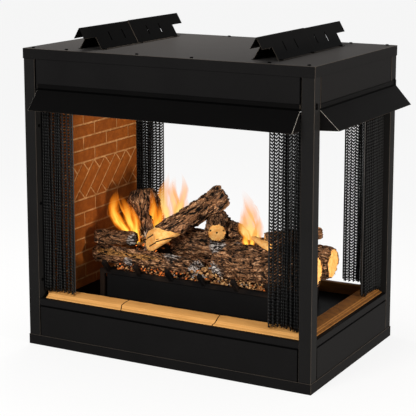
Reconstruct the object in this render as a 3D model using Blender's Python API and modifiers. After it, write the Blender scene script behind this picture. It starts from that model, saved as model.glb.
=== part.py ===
"""Ventless firebox, open at the front, the right side and the rear, with its gas log set.

Metres, +Z up. The origin is the middle of the cabinet's underside, -Y is the front and +X the open side.
"""

import math

import bmesh
import bpy
from mathutils import Matrix, Vector

# Cabinet
CABINET_WIDTH = 0.953
CABINET_DEPTH = 0.603
CABINET_HEIGHT = 0.920
POST_SIZE = 0.038
POST_WALL = 0.002
SHEET = 0.0015
FLANGE_HEIGHT = 0.031

# Small distances that every piece shares
CLEARANCE = 0.0003
OVERRUN = 0.002
WELD = 0.00001

# Openings and the panels round them
HEARTH_TOP = 0.133
HEARTH_THICKNESS = 0.006
HEADER_HEIGHT = 0.1225
CEILING_THICKNESS = 0.003
PANEL_SIDE_GAP = 0.003
LOWER_PANEL_SIDE_GAP = 0.001
PANEL_RETURN = 0.015
SILL_TOP = 0.149
SILL_GAP = 0.002
SILL_DEPTH = 0.014

# Smoke hoods
HOOD_REACH = 0.052
HOOD_DROP = 0.056
HOOD_FLANGE = 0.0175
FRONT_HOOD_LEFT_MARGIN = 0.0485
FRONT_HOOD_RIGHT_MARGIN = 0.0415
SIDE_HOOD_FRONT_MARGIN = 0.0515
SIDE_HOOD_REAR_MARGIN = 0.0005

# Brick lining
LINER_THICKNESS = 0.014
LINER_CURTAIN_GAP = 0.003
LEDGE_DEPTH = 0.050
LEDGE_TOP = 0.168
LEDGE_LIP_HEIGHT = 0.0175
LEDGE_LIP_RISE = 0.004
LEDGE_LIP_DEPTH = 0.009
LEDGE_COVE_DEPTH = 0.018
LEDGE_COVE_RISE = 0.0105
LEDGE_EDGE_ROUND = 0.002
LEDGE_JOINT = 0.001
FRONT_JOINT_PLACES = (-0.155, 0.160)

# Mesh curtains
ROD_RADIUS = 0.004
ROD_DROP = 0.012
ROD_INSET = 0.0335
SIDE_ROD_INSET = 0.0265
RING_RADIUS = 0.0075
WIRE_RADIUS = 0.002
WIRE_IN_RING_SHARE = 0.9
CURTAIN_THICKNESS = 0.002
CURTAIN_FOLD = 0.010
CURTAIN_FOLD_PITCH = 0.0265
CURTAIN_FLOOR_GAP = 0.006
CURTAIN_FOLDS = 4
SIDE_CURTAIN_FOLDS = 5
CURTAIN_TOP_FOLD_SHARE = 0.7
CURTAIN_SIDE_GAP = 0.002
CURTAIN_POINTS_PER_FOLD = 8

# Framing standoffs
STANDOFF_HEIGHT = 0.070
STANDOFF_HALF_WIDTH = 0.039
STANDOFF_SHEET = 0.0015
STANDOFF_LEFT_MARGIN = 0.1995
STANDOFF_RIGHT_MARGIN = 0.1765
STANDOFF_FRONT_MARGIN = 0.0005
STANDOFF_REAR_MARGIN = 0.0295
STANDOFF_WING = 0.062
STANDOFF_WING_HEIGHT = 0.036
STANDOFF_SEAM = -0.012
STANDOFF_LAP = 0.020
STANDOFF_STEP_SHARE = 0.8
STANDOFF_FOOT = 0.006
SLOT_PLACES = (-0.163, -0.087, 0.054, 0.130)
SLOT_WIDTH = 0.004
SLOT_LENGTH = 0.030

# Grate
GRATE_OFFSET = -0.010
GRATE_BOX_GAP = 0.009
GRATE_DEPTH = 0.274
GRATE_BAR = 0.014
GRATE_FINGER_WIDTH = 0.012
GRATE_FINGERS = 6
GRATE_FINGER_MARGIN = 0.0325
GRATE_TIP_REACH = 0.035
GRATE_TIP_RISE = 0.038
GRATE_GAP = 0.002

# Burner
BOX_LENGTH = 0.580
BOX_DEPTH = 0.264
BOX_HEIGHT = 0.072
BOX_WALL = 0.003
BOX_SHELF_DROP = 0.037
TUBE_RADIUS = 0.011
TUBE_SPREAD = 0.120
TUBE_END_GAP = 0.045
TUBE_SIDES_RESOLUTION = 2
FEED_RADIUS = 0.007
FEED_HOLE_GAP = 0.0015
EMBER_RIDGE_DROP = 0.0018
EMBER_FINGER_GAP = 0.003
EMBER_SIDE_GAP = 0.0005
PILOT_BAY = 0.045
PILOT_RADIUS = 0.005
PILOT_HEIGHT = 0.036
PILOT_BASE = 0.020
PILOT_BASE_THICKNESS = 0.003

# Gas valve and what a hand reaches
VALVE_LENGTH = 0.060
VALVE_WIDTH = 0.050
VALVE_SIDE_GAP = 0.022
CONTROLS_PLACE = 0.060
SUPPLY_RADIUS = 0.005
SUPPLY_DROP = 0.050
SUPPLY_BEND_PLACE = -0.250
SUPPLY_HOLE_GAP = 0.002
KNOB_RADIUS = 0.013
KNOB_LENGTH = 0.018
KNOB_GRIP_DEPTH = 0.003
KNOB_GRIP_WIDTH = 0.006
SHAFT_RADIUS = 0.004
BUTTON_RADIUS = 0.007
BUTTON_LENGTH = 0.008
BUTTON_TRAVEL = 0.004
BUTTON_STEM = 0.0035
BUTTON_STEM_LENGTH = 0.020
BUTTON_SPACING = 0.036
RUNNING_GAP = 0.0005

# Logs: radii at the start and the end of each one
FRONT_LEFT_LOG_RADII = (0.029, 0.027)
FRONT_RIGHT_LOG_RADII = (0.056, 0.062)
BACK_LOG_RADII = (0.055, 0.050)
STACKED_LOG_RADII = (0.024, 0.023)
LEANING_LOG_RADII = (0.045, 0.056)
CROSS_LOG_RADII = (0.033, 0.037)
ROUND_LOG_RADII = (0.034, 0.032)
BRANCH_RADII = (0.018, 0.017)
FORKED_LOG_RADII = (0.022, 0.019)
FORK_ARM_RADII = (0.008, 0.016)
LOG_SINK = 0.003
CROSS_LOG_SINK = 0.020
LOG_SIDES = 14
LOG_RINGS = 7
LOG_RIPPLE_SHARE = 0.027
LOG_RIPPLE_TWIST = 3.1
LOG_FINE_RIPPLE_SHARE = 0.7
LOG_FINE_RIPPLE_TWIST = 5.3
LOG_BEND_SHARE = 0.10

# Where the logs lie, as shares of the hearth's half length and half depth from its middle
FRONT_LEFT_LOG_SHARES = ((-0.911, -0.270), (0.043, -0.290))
FRONT_RIGHT_LOG_SHARES = ((0.122, -0.211), (0.911, -0.232))
BACK_LOG_SHARES = ((-0.392, 0.316), (0.887, 0.422))
STACKED_LOG_SHARES = ((-0.928, -0.211), (-0.607, -0.084))
LEANING_LOG_SHARES = ((-0.595, 0.253), (-0.703, 0.379))
CROSS_LOG_SHARES = ((-0.490, -0.367), (-0.033, 0.506))
ROUND_LOG_SHARES = ((0.057, 0.000), (-0.100, 0.548))
FORKED_LOG_SHARES = ((0.504, -0.186), (0.839, 0.253))

# An arm's start and end: the share along the log that it grows from, and how far from there
BRANCH_PLACES = ((0.0, 0.0523, 0.0451), (1.0, 0.0360, 0.0100))
FORK_ARM_PLACES = ((0.0, -0.0447, 0.0041), (0.0, 0.0383, -0.0309))

# How far each log's ripple is turned about its own line
FRONT_LEFT_LOG_TURN = 0.4
FRONT_RIGHT_LOG_TURN = 1.9
BACK_LOG_TURN = 3.2
LEANING_LOG_TURN = 4.4
STACKED_LOG_TURN = 5.1
CROSS_LOG_TURN = 2.6
ROUND_LOG_TURN = 0.9
BRANCH_TURN = 1.3
FORKED_LOG_TURN = 3.9
FORK_ARM_TURN = 2.2

# How far each raised log climbs from its start to its end
STACKED_LOG_CLIMB = 0.0
LEANING_LOG_CLIMB = 0.209
CROSS_LOG_CLIMB = 0.154
ROUND_LOG_CLIMB = 0.017
BRANCH_CLIMB = -0.004
BRANCH_RAISE = -0.010
FORKED_LOG_CLIMB = 0.015
FORK_ARM_CLIMB = -0.016
CROSS_LOG_CUT_SHARE = 0.13
CROSS_LOG_CUT_TILT = (-0.20, -0.80, 0.45)

# Places worked out from the sizes above
HALF_WIDTH = CABINET_WIDTH / 2
HALF_DEPTH = CABINET_DEPTH / 2
CEILING_BOTTOM = CABINET_HEIGHT - HEADER_HEIGHT
FLOOR_SEAT = HEARTH_TOP + CLEARANCE
PAN_SEAT = SHEET + CLEARANCE
COVER_SEAT = CABINET_HEIGHT - SHEET - CLEARANCE
LINER_FACE = -HALF_WIDTH + POST_SIZE + CLEARANCE + LINER_THICKNESS
LEDGE_SETBACK = SILL_DEPTH + CLEARANCE
HEARTH_LEFT = LINER_FACE
HEARTH_RIGHT = HALF_WIDTH - LEDGE_SETBACK - LEDGE_DEPTH
HEARTH_MIDDLE = (HEARTH_LEFT + HEARTH_RIGHT) / 2
HEARTH_HALF_LENGTH = (HEARTH_RIGHT - HEARTH_LEFT) / 2
HEARTH_HALF_DEPTH = HALF_DEPTH - LEDGE_SETBACK - LEDGE_DEPTH
ROD_HEIGHT = CEILING_BOTTOM - ROD_DROP
CURTAIN_TOP = ROD_HEIGHT - ROD_RADIUS - CLEARANCE
CURTAIN_BOTTOM = LEDGE_TOP + CURTAIN_FLOOR_GAP
STANDOFF_PLACES = (STANDOFF_LEFT_MARGIN - HALF_WIDTH, HALF_WIDTH - STANDOFF_RIGHT_MARGIN)
STANDOFF_FRONT = STANDOFF_FRONT_MARGIN - HALF_DEPTH
STANDOFF_REAR = HALF_DEPTH - STANDOFF_REAR_MARGIN
BOX_TOP = FLOOR_SEAT + BOX_HEIGHT
SHELF_TOP = BOX_TOP - BOX_SHELF_DROP
GRATE_LENGTH = BOX_LENGTH + (GRATE_BAR + GRATE_BOX_GAP) * 2
GRATE_FINGER_SPREAD = GRATE_LENGTH - GRATE_FINGER_MARGIN * 2
GRATE_BOTTOM = BOX_TOP + GRATE_GAP
GRATE_TOP = GRATE_BOTTOM + GRATE_BAR
TUBE_HEIGHT = SHELF_TOP + CLEARANCE + TUBE_RADIUS
EMBER_BOTTOM = TUBE_HEIGHT + TUBE_RADIUS + CLEARANCE
BOX_RIGHT = GRATE_OFFSET + BOX_LENGTH / 2
VALVE_RIGHT = BOX_RIGHT - BOX_WALL - VALVE_SIDE_GAP
VALVE_BOTTOM = FLOOR_SEAT
VALVE_TOP = SHELF_TOP - BOX_WALL - CLEARANCE
CONTROLS_HEIGHT = (VALVE_BOTTOM + VALVE_TOP) / 2
BUTTON_PLACE = CONTROLS_PLACE + BUTTON_SPACING

# Finishes: colour, roughness, metallic
BLACK_COAT = ("black_coat", (0.022, 0.022, 0.023), 0.55, 0.0)
DARK_STEEL = ("dark_steel", (0.035, 0.033, 0.031), 0.5, 0.8)
BRICK = ("fired_brick", (0.42, 0.16, 0.055), 0.9, 0.0)
LEDGE_BRICK = ("ledge_brick", (0.68, 0.40, 0.15), 0.85, 0.0)
CURTAIN_MESH = ("curtain_mesh", (0.03, 0.03, 0.03), 0.5, 0.7)
CAST_BLACK = ("cast_black", (0.018, 0.017, 0.016), 0.7, 0.3)
BARK = ("ceramic_bark", (0.12, 0.07, 0.045), 0.95, 0.0)
EMBER = ("ember_wool", (0.65, 0.22, 0.06), 0.95, 0.0)
STEEL = ("plain_steel", (0.45, 0.44, 0.42), 0.35, 1.0)
KNOB_BLACK = ("knob_black", (0.02, 0.02, 0.02), 0.4, 0.0)

for leftover in list(bpy.data.objects):
    bpy.data.objects.remove(leftover, do_unlink=True)

parts = bpy.data.collections.new("ventless_firebox")
cutters = bpy.data.collections.new("cutters")
bpy.context.scene.collection.children.link(parts)
bpy.context.scene.collection.children.link(cutters)


def finish(recipe):
    """Return the material of a finish, made the first time that it is asked for."""
    name, colour, roughness, metallic = recipe
    found = bpy.data.materials.get(name)
    if found:
        return found
    made = bpy.data.materials.new(name)
    made.use_nodes = True
    shader = made.node_tree.nodes["Principled BSDF"]
    shader.inputs["Base Color"].default_value = (*colour, 1.0)
    shader.inputs["Roughness"].default_value = roughness
    shader.inputs["Metallic"].default_value = metallic
    made.diffuse_color = (*colour, 1.0)
    return made


def place(mesh, name, recipe=None, turn=0.0):
    """Put a mesh in the scene, as a part with its finish, or as a cutter where it has none."""
    made = bpy.data.objects.new(name, mesh)
    made.rotation_euler.z = turn
    if recipe:
        mesh.materials.append(finish(recipe))
        parts.objects.link(made)
    else:
        cutters.objects.link(made)
        made.hide_render = True
        made.display_type = "WIRE"
    return made


def mesh_of(bm, name):
    """Turn a bmesh into a mesh."""
    bmesh.ops.recalc_face_normals(bm, faces=bm.faces)
    mesh = bpy.data.meshes.new(name)
    bm.to_mesh(mesh)
    bm.free()
    return mesh


def add_box(bm, low, high):
    """Add a box between two corners."""
    low = Vector(low)
    high = Vector(high)
    spot = Matrix.Translation((low + high) / 2) @ Matrix.Diagonal((*(high - low), 1.0))
    return bmesh.ops.create_cube(bm, size=1.0, matrix=spot)["verts"]


def box_mesh(name, *corners):
    """Make one mesh of boxes that don't meet, each from its two corners."""
    bm = bmesh.new()
    for low, high in corners:
        add_box(bm, low, high)
    return mesh_of(bm, name)


def cylinder_mesh(name, start, end, radius, sides):
    """Make a closed cylinder between two points."""
    bm = bmesh.new()
    start = Vector(start)
    end = Vector(end)
    turn = (end - start).to_track_quat("Z", "Y").to_matrix().to_4x4()
    spot = Matrix.Translation((start + end) / 2) @ turn
    bmesh.ops.create_cone(
        bm, cap_ends=True, segments=sides, radius1=radius, radius2=radius, depth=(end - start).length, matrix=spot
    )
    return mesh_of(bm, name)


def join(first, other, operation):
    """Cut or join one object with another by a live Boolean."""
    step = first.modifiers.new(other.name, "BOOLEAN")
    step.operation = operation
    step.object = other
    step.solver = "EXACT"


def mesh_from_curve(curve, name, matrix):
    """Evaluate a curve, weld its caps and return the mesh."""
    holder = bpy.data.objects.new(name, curve)
    bpy.context.scene.collection.objects.link(holder)
    bpy.context.view_layer.update()
    evaluated = holder.evaluated_get(bpy.context.evaluated_depsgraph_get())
    mesh = bpy.data.meshes.new_from_object(evaluated)
    bm = bmesh.new()
    bm.from_mesh(mesh)
    bmesh.ops.remove_doubles(bm, verts=bm.verts, dist=WELD)
    bmesh.ops.recalc_face_normals(bm, faces=bm.faces)
    bmesh.ops.transform(bm, matrix=matrix, verts=bm.verts)
    bm.to_mesh(mesh)
    bm.free()
    bpy.data.objects.remove(holder, do_unlink=True)
    mesh.materials.clear()
    mesh.name = name
    return mesh


def outline_mesh(name, loops, thickness, matrix):
    """Extrude flat outlines, the first one solid and the others holes, and carry them with the matrix."""
    curve = bpy.data.curves.new(name, "CURVE")
    curve.dimensions = "2D"
    curve.fill_mode = "BOTH"
    curve.extrude = thickness / 2
    for loop in loops:
        spline = curve.splines.new("POLY")
        spline.points.add(len(loop) - 1)
        for point, (across, up) in zip(spline.points, loop):
            point.co = (across, up, 0.0, 1.0)
        spline.use_cyclic_u = True
    return mesh_from_curve(curve, name, matrix)


def tube_mesh(name, points, radius, resolution):
    """Make a closed round tube along a run of points."""
    curve = bpy.data.curves.new(name, "CURVE")
    curve.dimensions = "3D"
    curve.bevel_depth = radius
    curve.bevel_resolution = resolution
    curve.use_fill_caps = True
    spline = curve.splines.new("POLY")
    spline.points.add(len(points) - 1)
    for point, spot in zip(spline.points, points):
        point.co = (*spot, 1.0)
    return mesh_from_curve(curve, name, Matrix.Identity(4))


def rectangle(low, high):
    """List the four corners of a flat rectangle."""
    return [(low[0], low[1]), (high[0], low[1]), (high[0], high[1]), (low[0], high[1])]


def circle(middle, radius, sides):
    """List the corners of a flat circle."""
    angles = [2 * math.pi * index / sides for index in range(sides)]
    return [(middle[0] + radius * math.cos(angle), middle[1] + radius * math.sin(angle)) for angle in angles]


def level(height):
    """Carry a flat outline to a height, with its thickness up and down."""
    return Matrix.Translation((0.0, 0.0, height))


def along_x(middle):
    """Stand a flat outline of (Y, Z) points on end, so that its thickness runs along X."""
    columns = Matrix(((0.0, 0.0, 1.0), (1.0, 0.0, 0.0), (0.0, 1.0, 0.0))).to_4x4()
    return Matrix.Translation((middle, 0.0, 0.0)) @ columns


def strip_outline(path, width):
    """Outline a bent strip round its middle line, with mitred bends."""
    left = []
    right = []
    for index, spot in enumerate(path):
        spot = Vector(spot)
        before = (spot - Vector(path[index - 1])).normalized() if index else None
        after = (Vector(path[index + 1]) - spot).normalized() if index + 1 < len(path) else None
        first = before or after
        second = after or before
        mean = (first + second).normalized()
        normal = Vector((-mean.y, mean.x))
        reach = width / 2 / max(normal.dot(Vector((-first.y, first.x))), 0.2)
        left.append(tuple(spot + normal * reach))
        right.append(tuple(spot - normal * reach))
    return left + right[::-1]


class Side:
    """One open side of the cabinet, in a frame whose -Y looks out of the opening."""

    def __init__(self, name, turn, face, half_opening, rod_inset):
        self.name = name
        self.turn = turn
        self.face = face
        self.half_opening = half_opening
        self.rod = face - rod_inset


FRONT = Side("front", 0.0, HALF_DEPTH, HALF_WIDTH - POST_SIZE, ROD_INSET)
RIGHT = Side("right", math.pi / 2, HALF_WIDTH, HALF_DEPTH - POST_SIZE, SIDE_ROD_INSET)
REAR = Side("rear", math.pi, HALF_DEPTH, HALF_WIDTH - POST_SIZE, ROD_INSET)
SIDES = (FRONT, RIGHT, REAR)


def make_tray(name, bottom, height, open_face):
    """Make a shallow sheet tray that closes round the posts, open above or below."""
    bm = bmesh.new()
    reach = CLEARANCE + SHEET
    add_box(
        bm,
        (-HALF_WIDTH - reach, -HALF_DEPTH - reach, bottom),
        (HALF_WIDTH + reach, HALF_DEPTH + reach, bottom + height),
    )
    lid = [face for face in bm.faces if face.normal.z * open_face > 0.5]
    bmesh.ops.delete(bm, geom=lid, context="FACES_ONLY")
    mesh = bpy.data.meshes.new(name)
    bm.to_mesh(mesh)
    bm.free()
    tray = place(mesh, name, BLACK_COAT)
    wall = tray.modifiers.new("wall", "SOLIDIFY")
    wall.thickness = SHEET
    wall.offset = -1.0
    wall.use_even_offset = True
    return tray


def make_posts():
    """Stand a square tube in each corner, on the pan and under the cover."""
    outer = rectangle((-POST_SIZE / 2, -POST_SIZE / 2), (POST_SIZE / 2, POST_SIZE / 2))
    inner_half = POST_SIZE / 2 - POST_WALL
    inner = rectangle((-inner_half, -inner_half), (inner_half, inner_half))
    height = COVER_SEAT - PAN_SEAT
    for depth_name, y_sign in (("front", -1), ("rear", 1)):
        for side_name, x_sign in (("left", -1), ("right", 1)):
            name = f"post_{depth_name}_{side_name}"
            post = place(outline_mesh(name, [outer, inner], height, level(0.0)), name, BLACK_COAT)
            post.location = (
                x_sign * (HALF_WIDTH - POST_SIZE / 2),
                y_sign * (HALF_DEPTH - POST_SIZE / 2),
                PAN_SEAT + height / 2,
            )


def notched_outline(inset):
    """Outline a plate that fills the cabinet inside its panels, notched for the four posts."""
    x_out = HALF_WIDTH - inset
    y_out = HALF_DEPTH - inset
    x_in = HALF_WIDTH - POST_SIZE - CLEARANCE
    y_in = HALF_DEPTH - POST_SIZE - CLEARANCE
    upper = [(x_out, y_in), (x_in, y_in), (x_in, y_out), (-x_in, y_out), (-x_in, y_in), (-x_out, y_in)]
    return upper + [(x, -y) for x, y in reversed(upper)]


def make_plates():
    """Make the hearth floor and the ceiling, the closed left side and its gas knock-out."""
    outline = notched_outline(SHEET + CLEARANCE)
    supply_hole = circle((SUPPLY_BEND_PLACE, CONTROLS_PLACE), SUPPLY_RADIUS + SUPPLY_HOLE_GAP, 16)
    floor_level = level(HEARTH_TOP - HEARTH_THICKNESS / 2)
    floor = outline_mesh("hearth_floor", [outline, supply_hole], HEARTH_THICKNESS, floor_level)
    place(floor, "hearth_floor", CAST_BLACK)
    ceiling_level = level(CEILING_BOTTOM + CEILING_THICKNESS / 2)
    ceiling = outline_mesh("ceiling_panel", [outline], CEILING_THICKNESS, ceiling_level)
    place(ceiling, "ceiling_panel", BLACK_COAT)
    half = HALF_DEPTH - POST_SIZE - CLEARANCE
    panel = place(
        box_mesh("side_panel_left", ((-HALF_WIDTH, -half, PAN_SEAT), (-HALF_WIDTH + SHEET, half, COVER_SEAT))),
        "side_panel_left",
        BLACK_COAT,
    )
    supply_height = CONTROLS_HEIGHT - SUPPLY_DROP
    knock_out = cylinder_mesh(
        "knock_out",
        (-HALF_WIDTH - OVERRUN, CONTROLS_PLACE, supply_height),
        (-HALF_WIDTH + SHEET + OVERRUN, CONTROLS_PLACE, supply_height),
        SUPPLY_RADIUS + RUNNING_GAP,
        12,
    )
    join(panel, place(knock_out, "knock_out"), "DIFFERENCE")


def make_fascia(side):
    """Fold the panel over an opening: a face, and a return under the ceiling's edge."""
    half = side.half_opening - PANEL_SIDE_GAP
    face = -side.face + SHEET / 2
    fold = CEILING_BOTTOM - CLEARANCE - SHEET / 2
    path = [(face, COVER_SEAT), (face, fold), (face + PANEL_RETURN, fold)]
    name = f"fascia_{side.name}"
    place(outline_mesh(name, [strip_outline(path, SHEET)], half * 2, along_x(0.0)), name, BLACK_COAT, side.turn)


def make_lower_panel(side):
    """Fold the access panel under an opening, with a return that carries the hearth floor."""
    half = side.half_opening - LOWER_PANEL_SIDE_GAP
    face = -side.face + SHEET / 2
    fold = HEARTH_TOP - HEARTH_THICKNESS - CLEARANCE - SHEET / 2
    path = [(face, PAN_SEAT), (face, fold), (face + PANEL_RETURN, fold)]
    name = f"lower_panel_{side.name}"
    place(outline_mesh(name, [strip_outline(path, SHEET)], half * 2, along_x(0.0)), name, BLACK_COAT, side.turn)


def make_sill(side):
    """Fold the sill rail: a lip on the face, a top, and a leg that stands on the hearth floor."""
    half = side.half_opening - CLEARANCE
    face = -side.face + SHEET / 2
    top = SILL_TOP - SHEET / 2
    lip = HEARTH_TOP - HEARTH_THICKNESS + SILL_GAP
    back = -side.face + SILL_DEPTH - SHEET / 2
    outline = strip_outline([(face, lip), (face, top), (back, top), (back, FLOOR_SEAT)], SHEET)
    name = f"sill_{side.name}"
    place(outline_mesh(name, [outline], half * 2, along_x(0.0)), name, BLACK_COAT, side.turn)


def make_hood(side, low, high):
    """Make a hood open below and behind: a slope with closed ends, and a flange screwed to the fascia."""
    name = f"hood_{side.name}"
    seat = side.face + CLEARANCE
    top = CEILING_BOTTOM
    tip = side.face + HOOD_REACH
    bottom = top - HOOD_DROP
    profile = [
        (-seat, top + HOOD_FLANGE),
        (-seat - SHEET, top + HOOD_FLANGE),
        (-seat - SHEET, top),
        (-tip, bottom),
        (-seat, bottom),
    ]
    middle = (low + high) / 2
    hood = place(outline_mesh(name, [profile], high - low, along_x(middle)), name, BLACK_COAT, side.turn)
    slope = Vector((-tip + seat + SHEET, bottom - top)).normalized()
    inward = Vector((-slope.y, slope.x)) * SHEET
    upper = Vector((-seat - SHEET, top)) + inward
    upper += slope * ((OVERRUN - seat - upper.x) / slope.x)
    lower = Vector((-tip, bottom)) + inward
    lower += slope * ((bottom - OVERRUN - lower.y) / slope.y)
    void = [tuple(upper), tuple(lower), (upper.x, lower.y)]
    hollow = outline_mesh(f"hollow_{name}", [void], high - low - SHEET * 2, along_x(middle))
    join(hood, place(hollow, f"hollow_{name}", None, side.turn), "DIFFERENCE")


def make_liner():
    """Stand the brick lining against the closed left side."""
    half = HALF_DEPTH - ROD_INSET - CURTAIN_FOLD - CURTAIN_THICKNESS - LINER_CURTAIN_GAP
    low = (LINER_FACE - LINER_THICKNESS, -half, FLOOR_SEAT)
    high = (LINER_FACE, half, CEILING_BOTTOM - CLEARANCE)
    place(box_mesh("brick_liner", (low, high)), "brick_liner", BRICK)


def ledge_profile(face):
    """Outline a ledge brick from its outer edge inwards: lip, cove and top."""
    outer = -face + LEDGE_SETBACK
    inner = outer + LEDGE_DEPTH
    lip = FLOOR_SEAT + LEDGE_LIP_HEIGHT
    lip_back = outer + LEDGE_LIP_DEPTH
    cove_foot = lip + LEDGE_LIP_RISE
    cove_back = lip_back + LEDGE_COVE_DEPTH
    cove_top = cove_foot + LEDGE_COVE_RISE
    return [
        (outer, FLOOR_SEAT),
        (outer, lip),
        (lip_back, cove_foot),
        (lip_back + LEDGE_COVE_DEPTH / 4, cove_foot + LEDGE_COVE_RISE / 2),
        (cove_back, cove_top),
        (inner - LEDGE_EDGE_ROUND, LEDGE_TOP),
        (inner, LEDGE_TOP - LEDGE_EDGE_ROUND),
        (inner, FLOOR_SEAT),
    ]


def cut_mitre(mesh, corner, along):
    """Cut a ledge's end at 45 degrees through the hearth's corner, and close the cut."""
    bm = bmesh.new()
    bm.from_mesh(mesh)
    normal = Vector(along).normalized()
    geometry = bm.verts[:] + bm.edges[:] + bm.faces[:]
    cut = bmesh.ops.bisect_plane(bm, geom=geometry, plane_co=corner, plane_no=normal, clear_outer=True)
    edges = [item for item in cut["geom_cut"] if isinstance(item, bmesh.types.BMEdge)]
    bmesh.ops.edgeloop_fill(bm, edges=edges)
    bmesh.ops.recalc_face_normals(bm, faces=bm.faces)
    bm.to_mesh(mesh)
    bm.free()


def make_ledge(side, name, low, high, mitres):
    """Lay one ledge brick along a side, mitred at the ends that are named."""
    mesh = outline_mesh(name, [ledge_profile(side.face)], high - low, along_x((low + high) / 2))
    for x_corner, x_sign in mitres:
        corner = (x_corner, -side.face + LEDGE_SETBACK + LEDGE_DEPTH, 0.0)
        cut_mitre(mesh, corner, (x_sign, 1.0, 0.0))
    place(mesh, name, LEDGE_BRICK, side.turn)


def make_ledges():
    """Lay the ledge bricks on the hearth, inside the three sills."""
    left = LINER_FACE + CLEARANCE
    right = HALF_WIDTH - POST_SIZE - CLEARANCE
    first, second = FRONT_JOINT_PLACES
    runs = ((left, first, "left"), (first, second, "middle"), (second, right, "right"))
    mitre = HEARTH_RIGHT - LEDGE_JOINT / 2
    for start, end, place_name in runs:
        low = start + (0.0 if start == left else LEDGE_JOINT / 2)
        high = end - (0.0 if end == right else LEDGE_JOINT / 2)
        corners = ((mitre, 1.0),) if end == right else ()
        make_ledge(FRONT, f"ledge_front_{place_name}", low, high, corners)
        flipped = tuple((-x, -sign) for x, sign in corners)
        make_ledge(REAR, f"ledge_rear_{place_name}", -high, -low, flipped)
    half = HALF_DEPTH - POST_SIZE - CLEARANCE
    end = HEARTH_HALF_DEPTH - LEDGE_JOINT / 2
    make_ledge(RIGHT, "ledge_right", -half, half, ((-end, -1.0), (end, 1.0)))


def make_rod(side, low, high):
    """Hang a curtain rod across an opening."""
    name = f"curtain_rod_{side.name}"
    mesh = cylinder_mesh(name, (low, -side.rod, ROD_HEIGHT), (high, -side.rod, ROD_HEIGHT), ROD_RADIUS, 12)
    place(mesh, name, DARK_STEEL, side.turn)


def make_curtain(side, name, start, direction, folds):
    """Gather a mesh curtain from its fixed edge, with the wire and ring that lead its free edge."""
    steps = folds * CURTAIN_POINTS_PER_FOLD
    width = folds * CURTAIN_FOLD_PITCH
    outer = []
    inner = []
    for step in range(steps + 1):
        phase = 2 * math.pi * folds * step / steps
        across = start + direction * width * step / steps
        depth = -side.rod + CURTAIN_FOLD * math.sin(phase)
        slope = CURTAIN_FOLD * math.cos(phase) * 2 * math.pi / CURTAIN_FOLD_PITCH * direction
        length = math.hypot(slope, 1.0)
        offset_across = -slope / length * CURTAIN_THICKNESS / 2
        offset_depth = CURTAIN_THICKNESS / 2 / length
        if step in (0, steps):
            offset_across = 0.0
        outer.append((across + offset_across, depth + offset_depth))
        inner.append((across - offset_across, depth - offset_depth))
    height = CURTAIN_TOP - CURTAIN_BOTTOM
    mesh = outline_mesh(name, [outer + inner[::-1]], height, level(CURTAIN_BOTTOM + height / 2))
    middle = CURTAIN_BOTTOM + height / 2
    for vertex in mesh.vertices:
        if vertex.co.z > middle:
            vertex.co.y = -side.rod + (vertex.co.y + side.rod) * CURTAIN_TOP_FOLD_SHARE
    place(mesh, name, CURTAIN_MESH, side.turn)
    lead_place = start + direction * (width + WIRE_RADIUS + CLEARANCE)
    lead_name = name.replace("curtain", "curtain_lead")
    ring = cylinder_mesh(lead_name, (-WIRE_RADIUS, 0.0, 0.0), (WIRE_RADIUS, 0.0, 0.0), RING_RADIUS, 16)
    lead = place(ring, lead_name, DARK_STEEL, side.turn)
    wire_top = -RING_RADIUS + (RING_RADIUS - ROD_RADIUS) / 2
    wire_foot = (0.0, 0.0, CURTAIN_BOTTOM - ROD_HEIGHT)
    wire_radius = WIRE_RADIUS * WIRE_IN_RING_SHARE
    wire = cylinder_mesh(f"wire_{lead_name}", wire_foot, (0.0, 0.0, wire_top), wire_radius, 10)
    bore = cylinder_mesh(
        f"bore_{lead_name}",
        (-WIRE_RADIUS - OVERRUN, 0.0, 0.0),
        (WIRE_RADIUS + OVERRUN, 0.0, 0.0),
        ROD_RADIUS + RUNNING_GAP,
        12,
    )
    spot = Matrix.Rotation(side.turn, 4, "Z") @ Vector((lead_place, -side.rod, ROD_HEIGHT))
    lead.location = spot
    for cutter_mesh, operation in ((wire, "UNION"), (bore, "DIFFERENCE")):
        cutter = place(cutter_mesh, cutter_mesh.name, None)
        cutter.parent = lead
        join(lead, cutter, operation)


def make_curtains():
    """Hang the rods and the five gathered curtains."""
    left = -HALF_WIDTH + POST_SIZE + CLEARANCE
    right = HALF_WIDTH - POST_SIZE - CLEARANCE
    make_rod(FRONT, left, right)
    make_rod(REAR, -right, -left)
    half = HALF_DEPTH - POST_SIZE - CLEARANCE
    make_rod(RIGHT, -half, half)
    make_curtain(FRONT, "curtain_front_left", left + CURTAIN_SIDE_GAP, 1, CURTAIN_FOLDS)
    make_curtain(FRONT, "curtain_front_right", right - CURTAIN_SIDE_GAP, -1, CURTAIN_FOLDS)
    make_curtain(REAR, "curtain_rear_left", -left - CURTAIN_SIDE_GAP, -1, CURTAIN_FOLDS)
    make_curtain(REAR, "curtain_rear_right", -right + CURTAIN_SIDE_GAP, 1, CURTAIN_FOLDS)
    make_curtain(RIGHT, "curtain_right", half - CURTAIN_SIDE_GAP, -1, SIDE_CURTAIN_FOLDS)


def roof_mesh(name, apex, half_width, front, rear):
    """Fold an upside down V along Y, with its flat feet turned out."""
    edge = STANDOFF_HALF_WIDTH + STANDOFF_FOOT
    path = [(-edge, 0.0), (-half_width, 0.0), (0.0, apex), (half_width, 0.0), (edge, 0.0)]
    outline = strip_outline(path, STANDOFF_SHEET)
    middle = (front + rear) / 2
    spot = Matrix.Translation((0.0, middle, 0.0)) @ Matrix.Rotation(math.pi / 2, 4, "X")
    return outline_mesh(name, [outline], rear - front, spot)


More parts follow.
